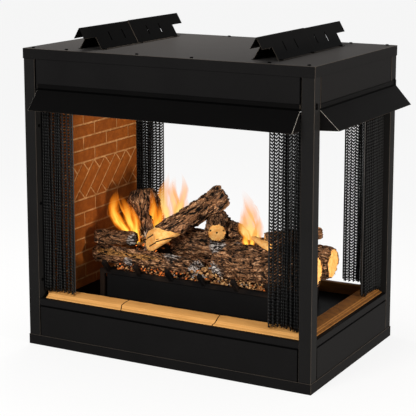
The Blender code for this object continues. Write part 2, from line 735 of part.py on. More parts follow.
def make_standoff(name, x_place, front_outside):
    """Make a framing standoff of two folded sheets that lap in the middle, with slots and undercut ends."""
    bottom = CABINET_HEIGHT + CLEARANCE
    base = bottom + STANDOFF_SHEET / 2
    apex = CABINET_HEIGHT + STANDOFF_HEIGHT - base - STANDOFF_SHEET
    step = STANDOFF_SHEET * STANDOFF_STEP_SHARE
    halves = ((STANDOFF_SEAM, STANDOFF_REAR), (STANDOFF_FRONT, STANDOFF_SEAM + STANDOFF_LAP))
    if not front_outside:
        halves = ((STANDOFF_FRONT, STANDOFF_SEAM), (STANDOFF_SEAM - STANDOFF_LAP, STANDOFF_REAR))
    under = roof_mesh(name, apex - step, STANDOFF_HALF_WIDTH - step, *halves[0])
    standoff = place(under, name, BLACK_COAT)
    standoff.location = (x_place, 0.0, base)
    over = roof_mesh(f"outer_half_{name}", apex, STANDOFF_HALF_WIDTH, *halves[1])
    wide = STANDOFF_HALF_WIDTH + STANDOFF_FOOT + OVERRUN
    undercut = box_mesh(
        f"undercut_{name}",
        (
            (-wide, STANDOFF_FRONT - OVERRUN, -STANDOFF_SHEET),
            (wide, STANDOFF_FRONT + STANDOFF_WING, STANDOFF_WING_HEIGHT),
        ),
        (
            (-wide, STANDOFF_REAR - STANDOFF_WING, -STANDOFF_SHEET),
            (wide, STANDOFF_REAR + OVERRUN, STANDOFF_WING_HEIGHT),
        ),
    )
    rise = apex / math.hypot(apex, STANDOFF_HALF_WIDTH) * SLOT_LENGTH / 2
    slot_middle = apex / 2
    corners = []
    for y_place in SLOT_PLACES:
        low = (-STANDOFF_HALF_WIDTH, y_place - SLOT_WIDTH / 2, slot_middle - rise)
        high = (STANDOFF_HALF_WIDTH, y_place + SLOT_WIDTH / 2, slot_middle + rise)
        corners.append((low, high))
    slots = box_mesh(f"slots_{name}", *corners)
    for cutter_mesh, operation in ((over, "UNION"), (undercut, "DIFFERENCE"), (slots, "DIFFERENCE")):
        cutter = place(cutter_mesh, cutter_mesh.name)
        cutter.location = standoff.location
        join(standoff, cutter, operation)


def finger_places():
    """List where the grate's fingers stand along X."""
    pitch = GRATE_FINGER_SPREAD / (GRATE_FINGERS - 1)
    return [GRATE_OFFSET - GRATE_FINGER_SPREAD / 2 + index * pitch for index in range(GRATE_FINGERS)]


def make_grate():
    """Join two rails, the fingers with their turned up tips, and four legs."""
    left = GRATE_OFFSET - GRATE_LENGTH / 2
    right = GRATE_OFFSET + GRATE_LENGTH / 2
    outer = GRATE_DEPTH / 2
    grate = place(
        box_mesh(
            "grate",
            ((left, -outer, GRATE_BOTTOM), (right, -outer + GRATE_BAR, GRATE_TOP)),
            ((left, outer - GRATE_BAR, GRATE_BOTTOM), (right, outer, GRATE_TOP)),
        ),
        "grate",
        CAST_BLACK,
    )
    middle = (GRATE_BOTTOM + GRATE_TOP) / 2
    bend = -outer + GRATE_BAR / 2
    path = [(outer - GRATE_BAR / 2, middle), (bend, middle), (bend - GRATE_TIP_REACH, middle + GRATE_TIP_RISE)]
    outline = strip_outline(path, GRATE_BAR - CLEARANCE)
    fingers = bmesh.new()
    for index, x_place in enumerate(finger_places()):
        finger = outline_mesh(f"finger_{index}", [outline], GRATE_FINGER_WIDTH, along_x(x_place))
        fingers.from_mesh(finger)
        bpy.data.meshes.remove(finger)
    corners = []
    for x_leg in (left, right - GRATE_BAR):
        for y_leg in (-outer, outer - GRATE_BAR):
            low = (x_leg + WELD, y_leg + WELD, FLOOR_SEAT)
            high = (x_leg + GRATE_BAR - WELD, y_leg + GRATE_BAR - WELD, middle)
            corners.append((low, high))
    for mesh in (mesh_of(fingers, "grate_fingers"), box_mesh("grate_legs", *corners)):
        join(grate, place(mesh, mesh.name), "UNION")


def make_burner_box():
    """Make the box under the grate: a skirt with a sunk shelf, and holes for the feed and the controls."""
    left = BOX_RIGHT - BOX_LENGTH
    half = BOX_DEPTH / 2
    box = place(box_mesh("burner_box", ((left, -half, FLOOR_SEAT), (BOX_RIGHT, half, BOX_TOP))), "burner_box", BLACK_COAT)
    inner_left = left + BOX_WALL
    inner_right = BOX_RIGHT - BOX_WALL
    inner_half = half - BOX_WALL
    hollows = box_mesh(
        "burner_box_hollows",
        ((inner_left, -inner_half, FLOOR_SEAT - OVERRUN), (inner_right, inner_half, SHELF_TOP - BOX_WALL)),
        ((inner_left, -inner_half, SHELF_TOP), (inner_right, inner_half, BOX_TOP + OVERRUN)),
    )
    join(box, place(hollows, "burner_box_hollows"), "DIFFERENCE")
    feed = feed_place()
    feed_hole = cylinder_mesh(
        "feed_hole",
        (feed[0], feed[1], SHELF_TOP - BOX_WALL - OVERRUN),
        (feed[0], feed[1], SHELF_TOP + OVERRUN),
        FEED_RADIUS + FEED_HOLE_GAP,
        16,
    )
    join(box, place(feed_hole, "feed_hole"), "DIFFERENCE")
    for name, y_place, radius in (
        ("knob_hole", CONTROLS_PLACE, SHAFT_RADIUS + RUNNING_GAP),
        ("button_hole", BUTTON_PLACE, BUTTON_STEM + RUNNING_GAP),
    ):
        hole = cylinder_mesh(
            name,
            (BOX_RIGHT - BOX_WALL - OVERRUN, y_place, CONTROLS_HEIGHT),
            (BOX_RIGHT + OVERRUN, y_place, CONTROLS_HEIGHT),
            radius,
            16,
        )
        join(box, place(hole, name), "DIFFERENCE")


def feed_place():
    """Say where the burner's feed drops through the shelf, over the middle of the valve."""
    return (VALVE_RIGHT - VALVE_LENGTH / 2, CONTROLS_PLACE)


def make_burner():
    """Bend the burner tube into a long U on the shelf, and drop its feed to the valve."""
    left = BOX_RIGHT - BOX_LENGTH + TUBE_END_GAP
    feed_x, feed_y = feed_place()
    far = feed_x + TUBE_RADIUS * 2
    half = TUBE_SPREAD / 2
    corner = TUBE_RADIUS * 2
    points = [(far, -half, TUBE_HEIGHT)]
    for y_sign in (-1, 1):
        for step in range(5):
            angle = math.pi / 2 * (step / 4 if y_sign < 0 else 1 - step / 4)
            x_bend = left + corner * (1 - math.sin(angle))
            y_bend = y_sign * (half - corner * (1 - math.cos(angle)))
            points.append((x_bend, y_bend, TUBE_HEIGHT))
    points.append((far, half, TUBE_HEIGHT))
    burner = place(tube_mesh("burner_tube", points, TUBE_RADIUS, TUBE_SIDES_RESOLUTION), "burner_tube", STEEL)
    feed = cylinder_mesh(
        "burner_feed", (feed_x, feed_y, VALVE_TOP + CLEARANCE), (feed_x, feed_y, TUBE_HEIGHT), FEED_RADIUS, 12
    )
    join(burner, place(feed, "burner_feed"), "UNION")


def make_ember_bed():
    """Lay the ember bed on the burner tube: a slab with ridges that stand between the grate's fingers."""
    left = BOX_RIGHT - BOX_LENGTH + BOX_WALL + EMBER_SIDE_GAP
    right = BOX_RIGHT - BOX_WALL - PILOT_BAY
    slab_top = GRATE_BOTTOM - EMBER_RIDGE_DROP / 2
    ridge_top = GRATE_TOP - EMBER_RIDGE_DROP
    reach = GRATE_FINGER_WIDTH / 2 + EMBER_FINGER_GAP
    top = []
    for x_place in finger_places():
        if x_place - reach > right:
            continue
        if x_place - reach > left:
            top.append((x_place - reach, ridge_top))
            top.append((x_place - reach, slab_top))
        else:
            top.append((left, slab_top))
        if x_place + reach < right:
            top.append((x_place + reach, slab_top))
            top.append((x_place + reach, ridge_top))
    if top[0][0] > left:
        top.insert(0, (left, ridge_top))
    outline = top + [(right, ridge_top), (right, EMBER_BOTTOM), (left, EMBER_BOTTOM)]
    depth = GRATE_DEPTH - (GRATE_BAR + EMBER_SIDE_GAP) * 2
    turned = [(-x, z) for x, z in outline]
    spot = Matrix.Rotation(math.pi, 4, "Z") @ Matrix.Rotation(math.pi / 2, 4, "X")
    place(outline_mesh("ember_bed", [turned], depth, spot), "ember_bed", EMBER)


def make_pilot():
    """Stand the oxygen sensing pilot on the shelf, in the bay beside the ember bed."""
    x_place = BOX_RIGHT - BOX_WALL - PILOT_BAY / 2
    base = SHELF_TOP + CLEARANCE
    half = PILOT_BASE / 2
    pilot = place(
        box_mesh("pilot_sensor", ((x_place - half, -half, base), (x_place + half, half, base + PILOT_BASE_THICKNESS))),
        "pilot_sensor",
        STEEL,
    )
    burner = cylinder_mesh(
        "pilot_burner",
        (x_place, 0.0, base + PILOT_BASE_THICKNESS / 2),
        (x_place, 0.0, base + PILOT_HEIGHT),
        PILOT_RADIUS,
        12,
    )
    join(pilot, place(burner, "pilot_burner"), "UNION")


def make_valve():
    """Set the gas valve under the shelf, with its supply pipe out to the left side of the cabinet."""
    half = VALVE_WIDTH / 2
    valve = place(
        box_mesh(
            "gas_valve",
            (
                (VALVE_RIGHT - VALVE_LENGTH, CONTROLS_PLACE - half, VALVE_BOTTOM),
                (VALVE_RIGHT, CONTROLS_PLACE + half, VALVE_TOP),
            ),
        ),
        "gas_valve",
        STEEL,
    )
    bend = SUPPLY_RADIUS * 2
    low = CONTROLS_HEIGHT - SUPPLY_DROP
    points = [(VALVE_RIGHT - VALVE_LENGTH / 2, CONTROLS_PLACE, CONTROLS_HEIGHT)]
    for step in range(5):
        angle = math.pi / 2 * step / 4
        across = SUPPLY_BEND_PLACE + bend * (1 - math.sin(angle))
        points.append((across, CONTROLS_PLACE, CONTROLS_HEIGHT - bend * (1 - math.cos(angle))))
    for step in range(5):
        angle = math.pi / 2 * step / 4
        across = SUPPLY_BEND_PLACE - bend * (1 - math.cos(angle))
        points.append((across, CONTROLS_PLACE, low + bend * (1 - math.sin(angle))))
    points.append((-HALF_WIDTH, CONTROLS_PLACE, low))
    pipe = tube_mesh("supply_pipe", points, SUPPLY_RADIUS, 1)
    join(valve, place(pipe, "supply_pipe"), "UNION")


def make_controls():
    """Make the knob on the valve's shaft and the igniter button, both through the box's right end."""
    seat = BOX_RIGHT + RUNNING_GAP
    knob_mesh = cylinder_mesh("control_knob", (0.0, 0.0, 0.0), (KNOB_LENGTH, 0.0, 0.0), KNOB_RADIUS, 20)
    knob = place(knob_mesh, "control_knob", KNOB_BLACK)
    knob.location = (seat, CONTROLS_PLACE, CONTROLS_HEIGHT)
    shaft_end = VALVE_RIGHT + CLEARANCE - seat
    shaft = cylinder_mesh("knob_shaft", (shaft_end, 0.0, 0.0), (KNOB_LENGTH / 2, 0.0, 0.0), SHAFT_RADIUS, 12)
    waist = KNOB_GRIP_WIDTH / 2
    grips = box_mesh(
        "knob_grips",
        (
            (KNOB_LENGTH - KNOB_GRIP_DEPTH, waist, -KNOB_RADIUS - OVERRUN),
            (KNOB_LENGTH + OVERRUN, KNOB_RADIUS + OVERRUN, KNOB_RADIUS + OVERRUN),
        ),
        (
            (KNOB_LENGTH - KNOB_GRIP_DEPTH, -KNOB_RADIUS - OVERRUN, -KNOB_RADIUS - OVERRUN),
            (KNOB_LENGTH + OVERRUN, -waist, KNOB_RADIUS + OVERRUN),
        ),
    )
    for mesh, operation in ((shaft, "UNION"), (grips, "DIFFERENCE")):
        cutter = place(mesh, mesh.name)
        cutter.parent = knob
        join(knob, cutter, operation)
    out = BUTTON_TRAVEL + RUNNING_GAP
    cap = cylinder_mesh("igniter_button", (out, 0.0, 0.0), (out + BUTTON_LENGTH, 0.0, 0.0), BUTTON_RADIUS, 16)
    button = place(cap, "igniter_button", KNOB_BLACK)
    button.location = (BOX_RIGHT, BUTTON_PLACE, CONTROLS_HEIGHT)
    stem = cylinder_mesh(
        "button_stem", (-BUTTON_STEM_LENGTH, 0.0, 0.0), (out + BUTTON_LENGTH / 2, 0.0, 0.0), BUTTON_STEM, 12
    )
    cutter = place(stem, "button_stem")
    cutter.parent = button
    join(button, cutter, "UNION")


class Log:
    """A ceramic log between two points, rippled and slightly bent, with flat ends."""

    def __init__(self, start, end, radii, phase):
        self.start = Vector(start)
        self.end = Vector(end)
        self.radii = radii
        self.phase = phase

    def settle_on(self, other, sink):
        """Lift or lower the log until it sinks by this much into the one that carries it."""
        along = (self.end - self.start).normalized()
        other_along = (other.end - other.start).normalized()
        normal = along.cross(other_along).normalized()
        if normal.z < 0:
            normal = -normal
        distance = (self.start - other.start).dot(normal)
        wanted = sum(self.radii) / 2 + sum(other.radii) / 2 - sink
        lift = Vector((0.0, 0.0, (wanted - distance) / normal.z))
        self.start += lift
        self.end += lift

    def mesh(self, name, grow=0.0):
        """Build the log's mesh, grown all over where it is to cut room for itself."""
        along = self.end - self.start
        length = along.length
        first, last = self.radii
        bm = bmesh.new()
        bmesh.ops.create_cone(bm, cap_ends=True, segments=LOG_SIDES, radius1=first, radius2=last, depth=length)
        for ring in range(1, LOG_RINGS):
            height = length * (ring / LOG_RINGS - 0.5)
            geometry = bm.verts[:] + bm.edges[:] + bm.faces[:]
            bmesh.ops.bisect_plane(bm, geom=geometry, plane_co=(0.0, 0.0, height), plane_no=(0.0, 0.0, 1.0))
        bend = (first + last) / 2 * LOG_BEND_SHARE
        for vertex in bm.verts:
            share = vertex.co.z / length + 0.5
            angle = math.atan2(vertex.co.y, vertex.co.x)
            ripple = math.sin(2 * angle + self.phase + LOG_RIPPLE_TWIST * share)
            ripple += LOG_FINE_RIPPLE_SHARE * math.sin(3 * angle - self.phase + LOG_FINE_RIPPLE_TWIST * share)
            radius = math.hypot(vertex.co.x, vertex.co.y) * (1 + LOG_RIPPLE_SHARE * ripple) + grow
            sway = bend * math.sin(math.pi * share + self.phase)
            vertex.co.x = radius * math.cos(angle) + sway
            vertex.co.y = radius * math.sin(angle)
            vertex.co.z += grow * (1 if share > 0.99 else -1 if share < 0.01 else 0)
        turn = along.to_track_quat("Z", "Y").to_matrix().to_4x4()
        spot = Matrix.Translation((self.start + self.end) / 2) @ turn
        bmesh.ops.transform(bm, matrix=spot, verts=bm.verts)
        return mesh_of(bm, name)


def hearth_spot(shares):
    """Turn shares of the hearth's half length and half depth into a place on it."""
    return (HEARTH_MIDDLE + shares[0] * HEARTH_HALF_LENGTH, shares[1] * HEARTH_HALF_DEPTH)


def grate_log(shares, radii, phase):
    """Describe a log that lies on the grate."""
    ends = [(*hearth_spot(share), GRATE_TOP + radius - LOG_SINK) for share, radius in zip(shares, radii)]
    return Log(*ends, radii, phase)


def raised_log(shares, radii, phase, climb, carrier=None, sink=LOG_SINK):
    """Describe a log that climbs from the grate, or from where it lies on another one."""
    start, end = (hearth_spot(share) for share in shares)
    log = Log((*start, GRATE_TOP), (*end, GRATE_TOP + climb), radii, phase)
    if carrier:
        log.settle_on(carrier, sink)
    return log


def arm_of(log, places, heights, radii, phase):
    """Describe an arm that grows from a log, its ends set off from points along the log."""
    ends = []
    for (share, x_off, y_off), height in zip(places, heights):
        spot = log.start.lerp(log.end, share)
        ends.append((spot.x + x_off, spot.y + y_off, height))
    return Log(*ends, radii, phase)


def lay_log(name, log, arms=(), neighbours=(), cuts=()):
    """Lay a log, join its arms, trim it where it rests on its neighbours and on the grate."""
    made = place(log.mesh(name), name, BARK)
    for index, arm in enumerate(arms):
        join(made, place(arm.mesh(f"arm_{index}_{name}"), f"arm_{index}_{name}"), "UNION")
    for index, neighbour in enumerate(neighbours):
        cutter_name = f"room_{index}_{name}"
        join(made, place(neighbour.mesh(cutter_name, CLEARANCE), cutter_name), "DIFFERENCE")
    for index, (spot, normal) in enumerate(cuts):
        half = HALF_WIDTH
        turn = Vector(normal).to_track_quat("Z", "Y").to_matrix().to_4x4()
        bm = bmesh.new()
        add_box(bm, (-half, -half, 0.0), (half, half, half))
        bmesh.ops.transform(bm, matrix=Matrix.Translation(spot) @ turn, verts=bm.verts)
        cutter_name = f"cut_{index}_{name}"
        join(made, place(mesh_of(bm, cutter_name), cutter_name), "DIFFERENCE")


def make_logs():
    """Stack the logs as they lie: three on the grate, one leaning, and four on top."""
    seat = ((0.0, 0.0, GRATE_TOP + CLEARANCE), (0.0, 0.0, -1.0))
    front_left = grate_log(FRONT_LEFT_LOG_SHARES, FRONT_LEFT_LOG_RADII, FRONT_LEFT_LOG_TURN)
    front_right = grate_log(FRONT_RIGHT_LOG_SHARES, FRONT_RIGHT_LOG_RADII, FRONT_RIGHT_LOG_TURN)
    back = grate_log(BACK_LOG_SHARES, BACK_LOG_RADII, BACK_LOG_TURN)
    leaning = raised_log(LEANING_LOG_SHARES, LEANING_LOG_RADII, LEANING_LOG_TURN, LEANING_LOG_CLIMB)
    stacked = raised_log(STACKED_LOG_SHARES, STACKED_LOG_RADII, STACKED_LOG_TURN, STACKED_LOG_CLIMB, front_left)
    cross = raised_log(CROSS_LOG_SHARES, CROSS_LOG_RADII, CROSS_LOG_TURN, CROSS_LOG_CLIMB, front_left, CROSS_LOG_SINK)
    round_log = raised_log(ROUND_LOG_SHARES, ROUND_LOG_RADII, ROUND_LOG_TURN, ROUND_LOG_CLIMB, back)
    height = (round_log.start.z + round_log.end.z) / 2 + BRANCH_RAISE
    branch = arm_of(round_log, BRANCH_PLACES, (height, height + BRANCH_CLIMB), BRANCH_RADII, BRANCH_TURN)
    forked = raised_log(FORKED_LOG_SHARES, FORKED_LOG_RADII, FORKED_LOG_TURN, FORKED_LOG_CLIMB, front_right)
    height = forked.start.z
    arm = arm_of(forked, FORK_ARM_PLACES, (height, height + FORK_ARM_CLIMB), FORK_ARM_RADII, FORK_ARM_TURN)
    lay_log("log_front_left", front_left, cuts=(seat,))
    lay_log("log_front_right", front_right, cuts=(seat,))
    lay_log("log_back", back, cuts=(seat,))
    lay_log("log_leaning", leaning, neighbours=(back,), cuts=(seat,))
    lay_log("log_stacked", stacked, neighbours=(front_left, leaning))
    along = (cross.end - cross.start).normalized()
    cut_spot = cross.start + (cross.end - cross.start) * CROSS_LOG_CUT_SHARE
    cut_normal = -along + Vector(CROSS_LOG_CUT_TILT)
    lay_log("log_cross", cross, neighbours=(front_left, leaning, back), cuts=((cut_spot, cut_normal),))
    lay_log("log_round", round_log, (branch,), (back, cross))
    lay_log("log_forked", forked, (arm,), (front_right, back, round_log))


def main():
    """Build every piece of the firebox."""
    make_tray("base_pan", 0.0, FLANGE_HEIGHT, 1)
    make_tray("top_cover", CABINET_HEIGHT - FLANGE_HEIGHT, FLANGE_HEIGHT, -1)
    make_posts()
    make_plates()
    for side in SIDES:
        make_fascia(side)
        make_lower_panel(side)
        make_sill(side)
    left = -HALF_WIDTH + FRONT_HOOD_LEFT_MARGIN
    right = HALF_WIDTH - FRONT_HOOD_RIGHT_MARGIN
    make_hood(FRONT, left, right)
    make_hood(REAR, -right, -left)
    make_hood(RIGHT, -HALF_DEPTH + SIDE_HOOD_FRONT_MARGIN, HALF_DEPTH - SIDE_HOOD_REAR_MARGIN)
    make_liner()
    make_ledges()
    make_curtains()
    make_standoff("standoff_left", STANDOFF_PLACES[0], False)
    make_standoff("standoff_right", STANDOFF_PLACES[1], True)
    make_grate()
    make_burner_box()
    make_burner()
    make_ember_bed()
    make_pilot()
    make_valve()
    make_controls()
    make_logs()


main()
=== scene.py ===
import math
import random

import bpy
import numpy as np
from mathutils import Matrix, Vector, noise


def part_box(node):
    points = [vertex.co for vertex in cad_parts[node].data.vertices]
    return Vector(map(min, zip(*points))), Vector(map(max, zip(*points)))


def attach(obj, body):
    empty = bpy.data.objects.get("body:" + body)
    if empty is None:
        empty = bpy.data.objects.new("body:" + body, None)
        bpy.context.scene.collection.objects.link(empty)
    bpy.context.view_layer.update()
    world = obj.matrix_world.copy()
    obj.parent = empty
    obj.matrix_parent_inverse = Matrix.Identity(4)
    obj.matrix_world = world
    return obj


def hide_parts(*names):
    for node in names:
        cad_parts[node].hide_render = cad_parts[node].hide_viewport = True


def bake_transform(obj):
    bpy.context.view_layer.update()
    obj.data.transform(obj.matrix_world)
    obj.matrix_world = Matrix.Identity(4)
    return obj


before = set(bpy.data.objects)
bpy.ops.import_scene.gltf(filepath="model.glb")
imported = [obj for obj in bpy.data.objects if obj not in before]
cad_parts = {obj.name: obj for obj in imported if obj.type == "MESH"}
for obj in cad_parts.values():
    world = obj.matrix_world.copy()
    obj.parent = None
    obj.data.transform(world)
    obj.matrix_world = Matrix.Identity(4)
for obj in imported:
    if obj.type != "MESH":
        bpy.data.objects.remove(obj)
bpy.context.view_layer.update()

NOISE_SEED = 11
noise.seed_set(NOISE_SEED)

# The camera, solved from the cabinet's edges in the photograph. Angles are in degrees.
PHOTO_SIDE = 416
SENSOR_WIDTH = 36.0
FOCAL_PIXELS = 1383.1
SHIFT_PIXELS = 63.0
CAMERA_YAW = 28.593
CAMERA_PITCH = 10.342
CAMERA_PLACE = (1.9788, -3.6534, 1.3765)

# The cabinet, as in the CAD
HALF_WIDTH = 0.4765
HALF_DEPTH = 0.3015
POST_SIZE = 0.038
CABINET_TOP = 0.920
LINER_FACE = -0.4242
LINER_HALF = 0.254
LINER_FOOT = 0.1333
LINER_TOP = 0.7972
ROD_HEIGHT = 0.785
ROD_RADIUS = 0.004
COVER_HEM = 0.8900
HOOD_LIP = 0.7440
HOOD_FOLD = 0.7955
HOOD_TOP = 0.8143
VALVE_Y = 0.060
VALVE_Z = 0.14915

# How its sheet metal is finished
MITRE = 0.0164
SEAM = 0.0034
HOOD_CREASE = 0.8030
SLOT_EDGE_AREA = 0.0000130
FOLD_ROUNDING = 0.00045
FOLD_ANGLE = 30.0
# finish slots: 1 a painted highlight on rounded folds, 2 painted shade in seams, creases and slots, 3 a brighter
# painted highlight on the hoods' lips, 4 painted sheen on the top
EDGE_HIGHLIGHT_FINISH, SEAM_SHADE_FINISH, LIP_HIGHLIGHT_FINISH, TOP_SHEEN_FINISH = 1, 2, 3, 4


# ---------------------------------------------------------------- modelling


def pick(*pieces):
    """Select these pieces alone."""
    bpy.ops.object.select_all(action="DESELECT")
    for piece in pieces:
        piece.select_set(True)
    bpy.context.view_layer.objects.active = pieces[0]


def apply(piece, kind, **settings):
    """Add a modifier and apply it."""
    step = piece.modifiers.new(kind.lower(), kind)
    for name, value in settings.items():
        setattr(step, name, value)
    pick(piece)
    bpy.ops.object.modifier_apply(modifier=step.name)


def settle(piece):
    """Put a piece's place, turn and size into its mesh."""
    pick(piece)
    bpy.ops.object.transform_apply(location=True, rotation=True, scale=True)
    return piece


def added(operator, **settings):
    """Add a primitive alone, settled, and return it."""
    bpy.ops.object.select_all(action="DESELECT")
    operator(**settings)
    return settle(bpy.context.view_layer.objects.active)


def join(name, pieces):
    """Join pieces into one, with its place in its mesh."""
    pick(*pieces)
    if len(pieces) > 1:
        bpy.ops.object.join()
    joined = bpy.context.view_layer.objects.active
    joined.name = name
    joined.data.name = name
    return settle(joined)


def copy_at(piece, matrix):
    """Copy a piece, with its own mesh, to another place."""
    made = bpy.data.objects.new(piece.name, piece.data.copy())
    made.data.transform(matrix)
    bpy.context.scene.collection.objects.link(made)
    return made


def remove(piece):
    """Take away a pattern piece that has been copied."""
    bpy.data.objects.remove(piece, do_unlink=True)


def choose_faces(piece, test):
    """Enter edit mode with the faces selected whose middle and normal pass the test."""
    pick(piece)
    bpy.ops.object.mode_set(mode="EDIT")
    bpy.ops.mesh.select_mode(type="FACE")
    bpy.ops.mesh.select_all(action="DESELECT")
    bpy.ops.object.mode_set(mode="OBJECT")
    for face in piece.data.polygons:
        face.select = test(face.center, face.normal)
    bpy.ops.object.mode_set(mode="EDIT")


def edit_all(piece):
    """Enter edit mode with the whole piece selected."""
    pick(piece)
    bpy.ops.object.mode_set(mode="EDIT")
    bpy.ops.mesh.select_all(action="SELECT")


def leave_edit():
    """Go back to object mode."""
    bpy.ops.object.mode_set(mode="OBJECT")


def cut(piece, place, normal, **settings):
    """Cut a piece along a plane."""
    edit_all(piece)
    bpy.ops.mesh.bisect(plane_co=place, plane_no=normal, **settings)
    leave_edit()


def block(low, high):
    """Add a block between two corners."""
    low, high = Vector(low), Vector(high)
    return added(bpy.ops.mesh.primitive_cube_add, size=1.0, location=(low + high) / 2, scale=high - low)


def rod(start, end, radius, sides=24):
    """Add a round bar between two points."""
    start, end = Vector(start), Vector(end)
    turn = (end - start).to_track_quat("Z", "Y").to_euler()
    return added(
        bpy.ops.mesh.primitive_cylinder_add,
        vertices=sides, radius=radius, depth=(end - start).length, location=(start + end) / 2, rotation=turn,
    )


def smooth(piece, angle=None):
    """Shade a piece smooth, all over or across edges up to an angle."""
    pick(piece)
    if angle is None:
        bpy.ops.object.shade_smooth()
    else:
        bpy.ops.object.shade_smooth_by_angle(angle=math.radians(angle))


def soften(piece, width, segments=2, angle=35.0, rounding_finish=0):
    """Round the edges of a piece, give the rounding another of its finishes by number (on the sheet metal a painted
    highlight on folds and painted shade on panel edges, on the ledges a painted highlight on their lips), and keep its
    flats flat.
    """
    settings = {"width": width, "segments": segments, "limit_method": "ANGLE", "angle_limit": math.radians(angle)}
    if rounding_finish:
        settings["material"] = rounding_finish
    apply(piece, "BEVEL", **settings)
    smooth(piece, angle)
    apply(piece, "WEIGHTED_NORMAL", weight=90, keep_sharp=True)


def copy_of(node, name):
    """Copy a CAD node into a new piece, with its loose triangles merged into whole faces."""
    piece = bpy.data.objects.new(name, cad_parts[node].data.copy())
    bpy.context.scene.collection.objects.link(piece)
    piece.data.materials.clear()
    edit_all(piece)
    bpy.ops.mesh.remove_doubles(threshold=0.00002)
    bpy.ops.mesh.dissolve_limited(angle_limit=math.radians(1.0))
    bpy.ops.mesh.normals_make_consistent(inside=False)
    leave_edit()
    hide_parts(node)
    return piece


def dress(piece, finishes, body="firebox"):
    """Give a piece its finishes and the body that it rides on."""
    for finish in finishes if isinstance(finishes, (list, tuple)) else [finishes]:
        piece.data.materials.append(finish.material)
    if body:
        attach(piece, body)


def finished(node, ending, finishes, slot, body="firebox", **rounding):
    """Copy a CAD node into a piece, with its finish and with its edges softened."""
    piece = copy_of(node, f"{node}_{ending}")
    dress(piece, finishes, body)
    soften(piece, **rounding)


def places_of(piece):
    """Read a mesh's points as an array."""
    spots = np.empty(len(piece.data.vertices) * 3)
    piece.data.vertices.foreach_get("co", spots)
    return spots.reshape(-1, 3)


def map_cloth(piece, spots):
    """Lay a sheet's cloth map out flat, from a place for each point of its mesh."""
    layer = piece.data.uv_layers[0]
    layer.name = "cloth"
    for loop in piece.data.loops:
        layer.data[loop.index].uv = spots[loop.vertex_index]


def move_to(piece, spots):
    """Write a mesh's points from an array."""
    piece.data.vertices.foreach_set("co", np.asarray(spots, float).ravel())
    piece.data.update()


def mark(piece, name, values):
    """Keep a number at each point of a mesh for its finish to read."""
    layer = piece.data.attributes.get(name) or piece.data.attributes.new(name, "FLOAT", "POINT")
    layer.data.foreach_set("value", np.asarray(values, np.float32))


def mark_all(piece, name, value):
    """Keep the same number at every point of a mesh."""
    mark(piece, name, np.full(len(piece.data.vertices), value))


# ---------------------------------------------------------------- finishes


def put(tree, socket, value):
    """Link or set a socket."""
    if isinstance(value, Amount):
        value = value.socket
    if isinstance(value, bpy.types.NodeSocket):
        tree.links.new(value, socket)
    else:
        socket.default_value = value


def add_node(tree, kind, settings=None, inputs=None):
    """Add a node: its settings first, then its inputs."""
    node = tree.nodes.new(kind)
    for name, value in (settings or {}).items():
        setattr(node, name, value)
    for name, value in (inputs or {}).items():
        put(tree, node.inputs[name], value)
    return node


class Amount:
    """A number that changes over a surface. Arithmetic on it adds Math nodes."""

    def __init__(self, tree, socket):
        self.tree = tree
        self.socket = socket

    def work(self, operation, *values):
        node = add_node(self.tree, "ShaderNodeMath", {"operation": operation}, dict(enumerate(values)))
        return Amount(self.tree, node.outputs[0])

    def __add__(self, other):
        return self.work("ADD", self, other)

    def __radd__(self, other):
        return self.work("ADD", other, self)

    def __sub__(self, other):
        return self.work("SUBTRACT", self, other)

    def __rsub__(self, other):
        return self.work("SUBTRACT", other, self)

    def __mul__(self, other):
        return self.work("MULTIPLY", self, other)

    def __truediv__(self, other):
        return self.work("DIVIDE", self, other)

    def part(self):
        """The fraction of the number."""
        return self.work("FRACT", self)

    def size(self):
        """The number without its sign."""
        return self.work("ABSOLUTE", self)

    def most(self, other):
        """The larger of the two."""
        return self.work("MAXIMUM", self, other)

    def step(self, low, high):
        """0 below low, 1 above high, and smooth between them. The other way round where low is above high."""
        if low > high:
            return 1.0 - self.step(high, low)
        inputs = {"Value": self, "From Min": low, "From Max": high}
        node = add_node(self.tree, "ShaderNodeMapRange", {"interpolation_type": "SMOOTHSTEP"}, inputs)
        return Amount(self.tree, node.outputs["Result"])


